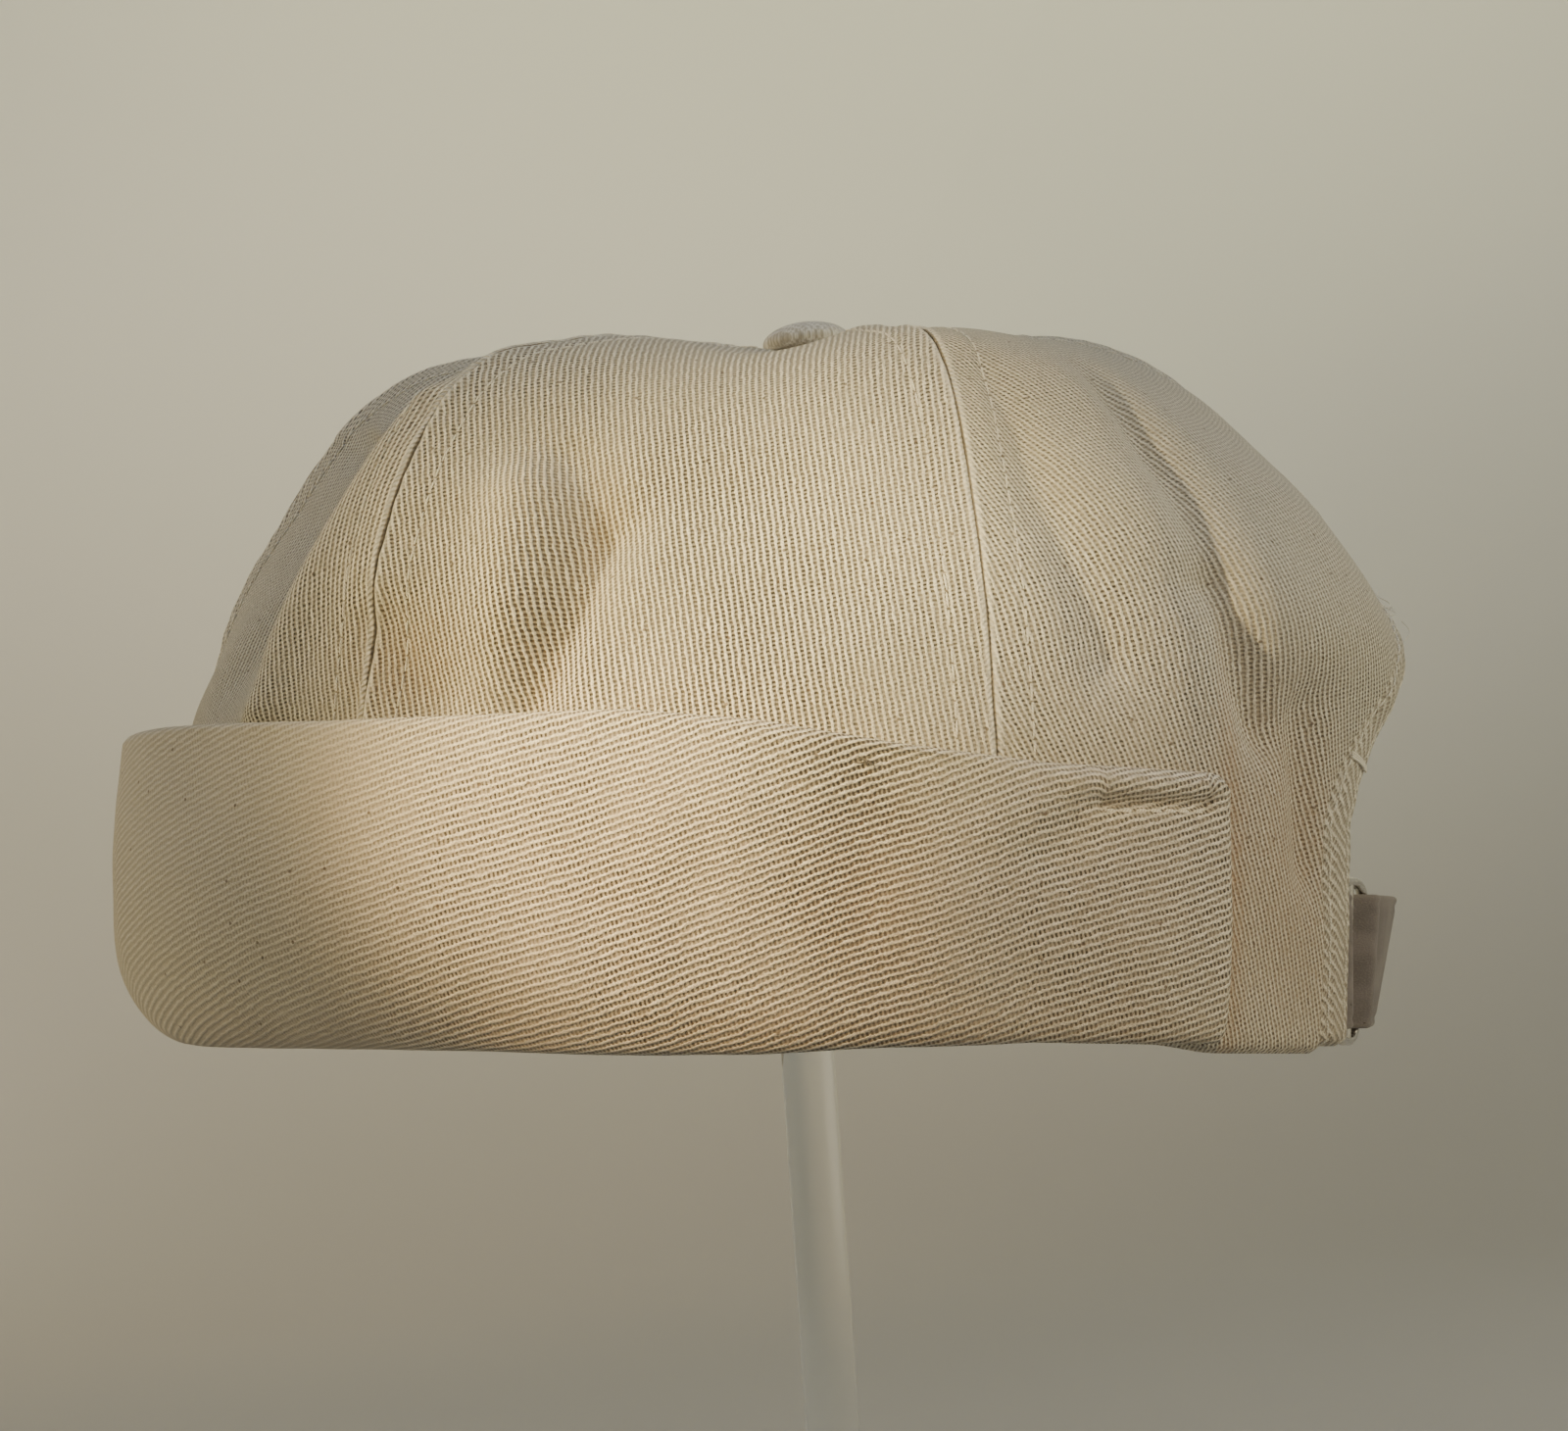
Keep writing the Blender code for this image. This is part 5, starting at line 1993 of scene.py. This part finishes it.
@dataclass
class ArchBinding:
    """The bias tape round the opening at the back, sewn down by two rows and a bar tack on each side."""

    shape: CrownShape
    opening: BackOpening
    width: float = 9.5 * MM
    thickness: float = 2.2 * MM
    ring_steps: int = 36
    squareness: float = 4.0
    end_curl: float = 2.6 * MM
    stitch_shares: tuple[float, float] = (0.24, 0.80)
    bar_tack_height: float = 49.5 * MM
    loose_count: int = 16
    stitches: StitchRow = field(default_factory=lambda: StitchRow(pitch=2.8 * MM, seed=41))

    def section(self) -> tuple[np.ndarray, np.ndarray]:
        """The tape's section, as shares across its width and through its thickness."""
        angle = np.linspace(0, math.tau, self.ring_steps + 1)[:-1] + math.pi / self.ring_steps
        power = 2 / self.squareness
        across = 0.5 - 0.5 * np.sign(np.cos(angle)) * np.abs(np.cos(angle)) ** power
        through = 0.5 - 0.5 * np.sign(np.sin(angle)) * np.abs(np.sin(angle)) ** (2 * power)
        return across, through

    def rings(self) -> tuple[np.ndarray, np.ndarray]:
        """The points of the tape's rings, left leg to right leg, and the length along it."""
        near = np.stack(self.opening.stations(0), -1)
        far = np.stack(self.opening.stations(self.width), -1)
        mirror = (-1, 1)
        near = np.concatenate([near, near[-2::-1] * mirror])
        far = np.concatenate([far, far[-2::-1] * mirror])
        along = run_length(np.concatenate([near, np.zeros((len(near), 1))], axis=1))
        across, through = self.section()
        wave = Ripple(9 * MM, 0.10 * MM, 33).at(along, 0.0)
        rim = near[0, 1]
        rings = []
        for k in range(len(near)):
            outer = through < 0.5
            grooves = sum(bell((across - share) * self.width, 0.8 * MM) for share in self.stitch_shares)
            place = near[k] + (far[k] - near[k]) * across[:, None]
            turn, rise = self.shape.back_place(place[:, 0], place[:, 1])
            depth = CLOTH / 2 + self.thickness * (through - 0.5)
            depth = depth + np.where(outer, 0.30 * MM * grooves - wave[k], 0)
            low = np.clip(1 - (place[:, 1] - rim) / self.end_curl, 0, 1)
            depth = depth + self.end_curl * (1 - np.sqrt(1 - low**2)) * 0.8
            rings.append(self.shape.point(turn, rise, depth, fine=True))
        return np.array(rings), along

    def build(self, cloth: bpy.types.Material, thread: bpy.types.Material) -> None:
        """Makes the tape, its two rows of stitches and the bar tacks.

        Args:
            cloth: The twill on the bias.
            thread: The sewing thread.
        """
        rings, along = self.rings()
        around = run_length(np.concatenate([rings, rings[:, :1]], axis=1), axis=1)
        flat = np.stack([np.repeat(along[:, None], around.shape[1], axis=1), around], -1)
        tape = lofted_bar(rings, flat, values={"soil": 0.12 * bell(rings[..., 2], 20 * MM)})
        place_piece("arch_tape", tape, cloth, "twill", "arch_binding")
        across, through = self.section()
        rows = []
        for share in self.stitch_shares:
            place = int(np.argmin(np.abs(across - share) + 10 * (through > 0.5)))
            path = rings[:, place]
            sideways = rings[:, place - 1] - rings[:, place + 1]
            normal = unit(np.cross(np.gradient(path, axis=0), sideways))
            centre = np.array([0, 0, 40 * MM])
            facing = np.sign(np.einsum("ij,ij->i", normal, path - centre))[:, None]
            rows.append(self.stitches.parts(path, normal * facing))
        rows += self.bar_tacks(rings, through) + self.loose_threads(rings, through)
        place_piece("tape_stitches", join_parts(rows), thread, "twill")

    def bar_tacks(self, rings: np.ndarray, through: np.ndarray) -> list[MeshParts]:
        """Three threads side by side across the tape's face, on each leg.

        Args:
            rings: The tape's rings.
            through: The places of their points through the thickness.

        Returns:
            The threads.
        """
        face = np.flatnonzero(through < 0.2)
        threads = []
        for side in (1, -1):
            leg = np.flatnonzero(rings[:, :, 0].mean(1) * side > 0)
            ring = leg[np.argmin(np.abs(rings[leg, :, 2].mean(1) - self.bar_tack_height))]
            outward = unit(rings[ring, face].mean(0) * (1, 1, 0))
            for up in (-0.4, 0.0, 0.4):
                path = rings[ring, face] + outward * 0.18 * MM + np.array([0, 0, up * MM])
                threads.append(round_wire(path, np.full(len(path), 0.24 * MM), 7, False))
        return threads

    def loose_threads(self, rings: np.ndarray, through: np.ndarray) -> list[MeshParts]:
        """Fine curled threads that stand off the tape near the arch's top.

        Args:
            rings: The tape's rings.
            through: The places of their points through the thickness.

        Returns:
            The threads.
        """
        draw = np.random.default_rng(12)
        face = np.flatnonzero(through < 0.2)
        threads = []
        for _ in range(self.loose_count):
            start = int(draw.integers(len(rings) * 2 // 5, len(rings) * 3 // 5))
            steps = np.linspace(0, 1, 12)
            length = draw.uniform(3, 8) * MM
            along = unit(rings[start + 3, face[0]] - rings[start - 3, face[0]])
            outward = unit(rings[start, face].mean(0) * (1, 1, 0.2))
            base = rings[start, draw.choice(face)]
            curl = np.sin(steps * math.pi * draw.uniform(0.8, 2.2)) * draw.uniform(0.4, 1.3) * MM
            path = base + steps[:, None] * length * along + (curl + 0.2 * MM)[:, None] * outward
            path[:, 2] += draw.uniform(-1, 1) * MM * steps**2
            threads.append(round_wire(path, np.full(len(path), 0.075 * MM), 5, False))
        return threads


# The strap and its slide

@dataclass
class BackStrap:
    """The leather strap across the opening, with a pressed groove near each edge, woven through the slide."""

    shape: CrownShape
    opening: BackOpening
    binding_width: float = 9.5 * MM
    width: float = 22.5 * MM
    thickness: float = 1.6 * MM
    bottom: float = 5.0 * MM
    depth: float = 1.9 * MM
    bulge: float = 5.4 * MM
    flare: float = 2.2 * MM
    half_length: float = 52 * MM
    slide_offset: float = 23.6 * MM
    bar_spacing: float = 4.5 * MM
    wire_radius: float = 0.9 * MM
    groove_from_edge: float = 1.8 * MM
    groove_depth: float = 0.28 * MM
    stations: int = 180

    def weave(self, distance: float) -> float:
        """How far the strap stands out of its line, outside the slide's frame and inside its middle bar.

        Args:
            distance: The distance from the slide's middle.

        Returns:
            The distance out, negative inwards.
        """
        amplitude = self.wire_radius + self.thickness / 2 + CLEARANCE
        away = abs(distance)
        if away < self.bar_spacing:
            return -amplitude * math.cos(math.pi * away / self.bar_spacing)
        fade = min((away - self.bar_spacing) / self.bar_spacing, 1)
        return amplitude * (1 + math.cos(math.pi * fade)) / 2

    def line(self, offset: float) -> tuple[np.ndarray, np.ndarray, float]:
        """Where the strap's line passes at an offset to the left.

        Args:
            offset: The offset.

        Returns:
            The point, the outward direction there and the bulge's share.
        """
        shape = self.shape
        heights = self.bottom + self.width * np.linspace(-0.1, 1.1, 9)
        turn, rise = shape.back_place(offset, heights)
        middle = len(heights) // 2
        outward = unit(shape.normal(turn[middle], rise[middle]) * (1, 1, 0))
        lining = (shape.point(turn, rise, CLOTH) @ outward).min()
        point = shape.outline(turn[middle], rise[middle])
        free = max(1 - (offset / (self.opening.half_width - CLOTH)) ** 2, 0) ** 2
        run_in = self.half_length - self.opening.half_width - self.binding_width
        seated = np.clip((self.half_length - abs(offset)) / run_in, 0, 1)
        contact = 2 * CLEARANCE + self.thickness / 2
        depth = contact + (self.depth - contact) * seated
        return point + outward * (lining - point @ outward - depth + self.bulge * free), outward, free

    def place(self, line: tuple[np.ndarray, np.ndarray, float], out: float, height: float) -> Place:
        """A point this far out from the strap's line at a height, leaning with it.

        Args:
            line: The line's point, its outward direction and the bulge's share.
            out: How far out of the line.
            height: The height.

        Returns:
            The point.
        """
        middle, outward, free = line
        flare = self.flare * free * (2 * (height - self.bottom) / self.width - 1)
        x, y = (middle + outward * (out + flare))[:2]
        return (x, y, height)

    def section(self) -> np.ndarray:
        """Distances out from the strap's middle and heights, round its section."""
        half, tall = self.thickness / 2, self.width / 2
        middle = self.bottom + tall
        side = np.linspace(-1, 1, 26)
        reach = side * (tall - half)
        groove = sum(bell(reach - mark * (tall - self.groove_from_edge), 0.35 * MM) for mark in (-1, 1))
        face = half - self.groove_depth * groove
        turn = np.linspace(0, math.pi, 9)[1:-1]
        top = np.stack([half * np.cos(turn), middle + tall - half + half * np.sin(turn)], -1)
        bottom = np.stack([-half * np.cos(turn), middle - tall + half - half * np.sin(turn)], -1)
        outer = np.stack([face, middle + reach], -1)
        inner = np.stack([np.full(26, -half), middle + reach[::-1]], -1)
        return np.concatenate([outer, top, inner, bottom])

    def build(self, leather: bpy.types.Material) -> None:
        """Makes the strap.

        Args:
            leather: Its finish.
        """
        section = self.section()
        offsets = np.linspace(-self.half_length, self.half_length, self.stations)
        rings = []
        for offset in offsets:
            line = self.line(offset)
            weave = self.weave(offset - self.slide_offset)
            rings.append([self.place(line, weave + out, height) for out, height in section])
        rings = np.array(rings)
        around = run_length(np.concatenate([section, section[:1]]))
        flat = np.stack(np.meshgrid(around, offsets), -1)
        low, high = self.bottom, self.bottom + self.width
        edge = np.maximum(bell(section[:, 1] - low, 0.9 * MM), bell(section[:, 1] - high, 0.9 * MM)) * 0.6
        rubbed = np.repeat(edge[None], len(rings), axis=0)
        parts = lofted_bar(rings, flat, values={"rubbed": rubbed})
        place_piece("strap_leather", parts, leather, "suede", "back_strap")


@dataclass
class StrapSlide:
    """The wire slide: a rounded frame and its middle bar."""

    strap: BackStrap
    height: float = 28.2 * MM
    corner: float = 3.0 * MM
    corner_steps: int = 10
    sides: int = 14

    def at(self, across: float, up: float) -> Place:
        """A point on the strap's line, at distances from the slide's middle.

        Args:
            across: The distance along the strap.
            up: The distance upwards.

        Returns:
            The point.
        """
        strap = self.strap
        line = strap.line(strap.slide_offset + across)
        return strap.place(line, 0, strap.bottom + strap.width / 2 + up)

    def build(self, metal: bpy.types.Material) -> None:
        """Makes the slide.

        Args:
            metal: Its finish.
        """
        spacing, radius = self.strap.bar_spacing, self.strap.wire_radius
        half_tall = self.height / 2 - radius
        outline = []
        for side, up in ((1, 1), (-1, 1), (-1, -1), (1, -1)):
            first = math.atan2(up, side) - math.pi / 4
            for angle in np.linspace(first, first + math.pi / 2, self.corner_steps):
                across = side * (spacing - self.corner) + self.corner * math.cos(angle)
                height = up * (half_tall - self.corner) + self.corner * math.sin(angle)
                outline.append(self.at(across, height))
            steps = np.linspace(0, 1, 14)[1:-1]
            if (side, up) == (-1, 1):
                outline += [self.at(-spacing, (half_tall - self.corner) * (1 - 2 * s)) for s in steps]
            if (side, up) == (1, -1):
                outline += [self.at(spacing, (half_tall - self.corner) * (2 * s - 1)) for s in steps]
        outline = np.array(outline)
        bar = np.array([self.at(0, half_tall * s) for s in np.linspace(-1, 1, 16)])
        border = round_wire(outline, np.full(len(outline), radius), self.sides, True)
        middle = round_wire(bar, np.full(len(bar), radius), self.sides, False)
        place_piece("slide_wire", join_parts([border, middle]), metal, "steel", "strap_slide")


# The stand

@dataclass
class DisplayStand:
    """The clear stand: a round foot, a rod and a crowned head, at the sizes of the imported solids."""

    crowning: float = 6.0 * MM
    head_thickness: float = 4.0 * MM
    hub_radius: float = 11 * MM
    hub_length: float = 10 * MM
    socket_depth: float = 3.0 * MM
    edge: float = 0.8 * MM
    steps: int = 128

    def rounded(self, reach: float, low: float, high: float) -> list[tuple[float, float]]:
        """A plate's rim, with both its corners rounded.

        Args:
            reach: The plate's radius.
            low: Its lower height.
            high: Its upper height.

        Returns:
            Radii and heights, upwards.
        """
        angles = np.linspace(0, math.pi / 2, 6)
        under = [(reach - self.edge * (1 - math.sin(a)), low + self.edge * (1 - math.cos(a))) for a in angles]
        over = [(reach - self.edge * (1 - math.cos(a)), high - self.edge * (1 - math.sin(a))) for a in angles]
        return under + over

    def build(self, acrylic: bpy.types.Material, plate: bpy.types.Material) -> None:
        """Makes the three pieces of the stand.

        Args:
            acrylic: The rod's finish.
            plate: The finish of the foot and the head.
        """
        world = Matrix.Identity(4)
        base_low, base_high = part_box("stand_base")
        rod_low, rod_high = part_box("stand_rod")
        head_low, head_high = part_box("stand_head")
        rod_radius = rod_high[0]
        socket = rod_radius + CLEARANCE
        thickness = base_high[2]
        floor = thickness - self.socket_depth
        base = [(0, 0)] + self.rounded(base_high[0], 0, thickness)
        base += [(socket + self.edge / 2, thickness), (socket, thickness - self.edge / 2)]
        base += [(socket, floor), (0, floor)]
        place_piece("stand_foot", turned_solid(base, self.steps), plate, "acrylic", "stand_base", where=world)
        rod = [(0, rod_low[2]), (rod_radius, rod_low[2]), (rod_radius, rod_high[2]), (0, rod_high[2])]
        place_piece("stand_post", turned_solid(rod, self.steps), acrylic, "acrylic", "stand_rod", where=world)
        reach, top = head_high[0], head_high[2]
        roof = top - self.head_thickness
        radii = np.linspace(self.hub_radius, reach - self.edge, 14)
        lower = [(r, roof - self.crowning * (r / reach) ** 2) for r in radii]
        upper = [(r, z + self.head_thickness) for r, z in reversed(lower)]
        rim = self.rounded(reach, roof - self.crowning, roof - self.crowning + self.head_thickness)
        hub_end = roof - self.hub_length
        head = [(0, roof), (socket, roof), (socket, hub_end), (self.hub_radius, hub_end)]
        head += lower[:-1] + rim + upper[1:] + [(0, top)]
        place_piece("stand_top", turned_solid(head, self.steps), plate, "acrylic", "stand_head", where=world)


# Room, lights and camera

class LightKind(Enum):
    """The kinds of light in the room."""

    PANEL = "AREA"
    BEAM = "SPOT"


@dataclass(frozen=True)
class SoftLight:
    """A light round the hat, aimed at a point near it."""

    name: str
    kind: LightKind
    azimuth: float
    height: float
    away: float
    size: float
    power: float
    colour: Colour
    aim: Place
    beam: float = 0.0

    def build(self) -> None:
        """Places the light; an azimuth of 90 degrees is on the wearer's left."""
        data = bpy.data.lights.new(self.name, self.kind.value)
        if self.kind is LightKind.PANEL:
            data.shape = "DISK"
            data.size = self.size
        else:
            data.shadow_soft_size = self.size / 2
            data.spot_size = math.radians(self.beam)
            data.spot_blend = 1.0
        data.energy = self.power
        data.color = self.colour
        lamp = bpy.data.objects.new(self.name, data)
        bpy.context.scene.collection.objects.link(lamp)
        turn = math.radians(self.azimuth)
        lamp.location = (self.away * math.sin(turn), -self.away * math.cos(turn), self.height)
        toward = Vector(self.aim) - lamp.location
        lamp.rotation_euler = toward.to_track_quat("-Z", "Y").to_euler()


def on_hat(across: float, up: float) -> Place:
    """The place on the hat's left side seen this far across and up the picture, in its pixels."""
    local = Vector((0.085, 0.004 + (across - 800) / 6600, 0.0137 + (996 - up) / 6600))
    return tuple(hat_frame() @ local)


def hat_beam(
    name: str, azimuth: float, power: float, colour: Colour, seen_at: Spot, beam: float, height: float = 0.50
) -> SoftLight:
    """A narrow beam on the hat's left side.

    Args:
        name: The light's name.
        azimuth: Where it stands round the hat, in degrees.
        power: Its power in watts.
        colour: Its colour.
        seen_at: The place that it is aimed at, across and up the picture.
        beam: The beam's angle in degrees.
        height: How high it stands.

    Returns:
        The light.
    """
    return SoftLight(name, LightKind.BEAM, azimuth, height, 0.95, 0.06, power, colour, on_hat(*seen_at), beam)


def room_beam(
    name: str, power: float, colour: Colour, aim: Place, beam: float, size: float = 0.30
) -> SoftLight:
    """A wide beam on the wall or the floor, from above the hat.

    Args:
        name: The light's name.
        power: Its power in watts.
        colour: Its colour.
        aim: The place that it is aimed at.
        beam: The beam's angle in degrees.
        size: The light's width.

    Returns:
        The light.
    """
    return SoftLight(name, LightKind.BEAM, 92, 1.50, 0.45, size, power, colour, aim, beam)


@dataclass
class Studio:
    """A pale floor that curves up into a round wall, soft lights and the camera at the photo's angle.

    The wall is lower on the camera's side, where the world's soft light comes in over it.
    """

    floor_radius: float = 0.75
    wall_radius: float = 1.75
    wall_height: float = 2.6
    low_wall_height: float = 1.1
    wall_steps: int = 160
    camera_place: Vector = Vector((0.5977, 0.0523, 0.01374))
    camera_azimuth: float = math.radians(95.4)
    image_width: float = 1600.0
    focal_pixels: float = 3450.0
    pitch_pixels: float = 266.0
    sensor: float = 36.0
    lights: tuple[SoftLight, ...] = (
        SoftLight("front_fill", LightKind.PANEL, 0, 0.60, 1.30, 0.60, 6.9, (1.0, 0.84, 0.46), (0, 0, 0.16)),
        SoftLight("side_fill", LightKind.PANEL, 160, 0.80, 1.30, 0.60, 8.0, (1.0, 0.93, 0.64), (0, 0, 0.16)),
        SoftLight("cool_sky", LightKind.PANEL, 95, 1.90, 0.30, 1.00, 6.6, (0.30, 0.52, 1.0), (0, 0, 0.15)),
        hat_beam("cuff_beam", 52, 62.0, (1.0, 0.67, 0.31), (640, 905), 4.0),
        hat_beam("cuff_glow", 52, 195.0, (1.0, 0.72, 0.36), (645, 860), 2.7),
        hat_beam("cuff_end_beam", 105, 11.0, (1.0, 0.60, 0.24), (1170, 890), 4.6),
        hat_beam("crown_beam", 105, 45.0, (1.0, 0.81, 0.41), (860, 500), 6.0),
        hat_beam("raking_beam", 38, 74.0, (1.0, 0.81, 0.41), (700, 520), 5.4, height=0.42),
        hat_beam("front_beam", 58, 46.0, (1.0, 0.78, 0.34), (490, 600), 6.0),
        hat_beam("rear_beam", 118, 6.0, (1.0, 0.92, 0.78), (1300, 560), 5.6),
        room_beam("wall_beam", 56.0, (1.0, 0.95, 0.66), (-1.73, -0.10, 1.0), 60),
        room_beam("high_wall_beam", 78.0, (1.0, 0.97, 0.50), (-1.75, 0.0, 1.5), 60),
        room_beam("rod_glow", 40.0, (1.0, 0.97, 0.80), (-0.95, -0.85, 0.05), 26, size=0.20),
        room_beam("floor_beam", 48.0, (1.0, 0.80, 0.50), (-1.3, -0.6, 0.2), 50),
    )

    def camera_frame(self) -> Matrix:
        """The camera's frame: level in the hat's own frame, and pitched up a little."""
        pitch = math.atan(self.pitch_pixels / self.focal_pixels)
        turn = self.camera_azimuth
        look = Vector((-math.sin(turn) * math.cos(pitch), math.cos(turn) * math.cos(pitch), math.sin(pitch)))
        right = look.cross(Vector((0, 0, 1))).normalized()
        local = Matrix((right, right.cross(look), -look)).transposed().to_4x4()
        local.translation = self.camera_place
        return hat_frame() @ local

    def build(self) -> None:
        """Makes the room, the lights, the world and the camera."""
        self.make_room()
        for light in self.lights:
            light.build()
        world = bpy.data.worlds.new("soft_room")
        world.use_nodes = True
        background = world.node_tree.nodes["Background"]
        background.inputs["Color"].default_value = (0.99, 0.97, 0.93, 1)
        background.inputs["Strength"].default_value = 0.057
        bpy.context.scene.world = world
        self.make_camera()

    def make_room(self) -> None:
        """Makes the floor and the wall as one turned surface."""
        cove = self.wall_radius - self.floor_radius
        profile = [(0.0, 0.0), (self.floor_radius, 0.0)]
        profile += [
            (self.floor_radius + cove * math.sin(angle), cove * (1 - math.cos(angle)))
            for angle in np.linspace(0, math.pi / 2, 40)[1:]
        ]
        profile += [(self.wall_radius, self.wall_height)]
        angles = np.linspace(0, math.tau, self.wall_steps + 1)
        rings = np.array([[(r * math.cos(a), r * math.sin(a), z) for a in angles] for r, z in profile[1:]])
        rings[-1, :, 2] -= (self.wall_height - self.low_wall_height) * ease(np.cos(angles), -0.15, 0.15)
        points = rings.reshape(-1, 3)
        faces = grid_faces(len(rings), len(angles))[:, ::-1].tolist() + [list(range(self.wall_steps))]
        mesh = bpy.data.meshes.new("floor_and_wall")
        mesh.from_pydata(points.tolist(), [], faces)
        mesh.shade_smooth()
        mesh.materials.append(PaintedWall().material())
        room = bpy.data.objects.new("floor_and_wall", mesh)
        bpy.context.scene.collection.objects.link(room)

    def make_camera(self) -> None:
        """Makes the camera that takes the picture."""
        data = bpy.data.cameras.new("photo_camera")
        data.sensor_fit = "HORIZONTAL"
        data.sensor_width = self.sensor
        data.lens = self.sensor * self.focal_pixels / self.image_width
        data.clip_start = 0.01
        camera = bpy.data.objects.new("photo_camera", data)
        bpy.context.scene.collection.objects.link(camera)
        camera.matrix_world = self.camera_frame()
        bpy.context.scene.camera = camera


def main() -> None:
    """Builds the pieces in order."""
    logging.basicConfig(level=logging.INFO, format="%(name)s: %(message)s")
    Studio().build()
    shape = CrownShape()
    opening = BackOpening(shape)
    crown_twill = TwillFinish("cream_twill_upright", Grain.UPRIGHT, stitched=True).material()
    cuff_twill = TwillFinish("cream_twill_level", Grain.LEVEL, rib_pitch=1.16 * MM).material()
    tape_twill = TwillFinish(
        "cream_twill_tape", Grain.BIAS, rib_pitch=1.5 * MM, relief=0.34 * MM, rib_colour=(0.90, 0.83, 0.70),
        valley_shade_colour=(0.60, 0.53, 0.42), dot_shade_colour=(0.30, 0.25, 0.19),
    ).material()
    # a smoother, lighter copy of the twill: its smoothness is the covering's own, its lightness is painted
    # light from above
    lit_button_twill = TwillFinish(
        "lit_cream_twill_button", Grain.BIAS, rib_colour=(0.95, 0.90, 0.80), valley_shade_colour=(0.86, 0.80, 0.70),
        dot_shade_colour=(0.62, 0.56, 0.47), relief=0.06 * MM,
    ).material()
    thread = ThreadFinish().material()
    Crown(shape, opening).build(crown_twill, thread)
    slub = ThreadFinish("grey_slub", colour=(0.30, 0.26, 0.20), shade=(0.13, 0.11, 0.085)).material()
    Cuff(shape).build(cuff_twill, thread, slub)
    TopButton(shape).build(lit_button_twill)
    ArchBinding(shape, opening).build(tape_twill, thread)
    strap = BackStrap(shape, opening)
    strap.build(SuedeFinish().material())
    StrapSlide(strap).build(SteelFinish().material())
    plate = AcrylicFinish("clear_acrylic_plate", alpha=0.3).material()
    DisplayStand().build(AcrylicFinish().material(), plate)


if __name__ == "__main__":
    main()
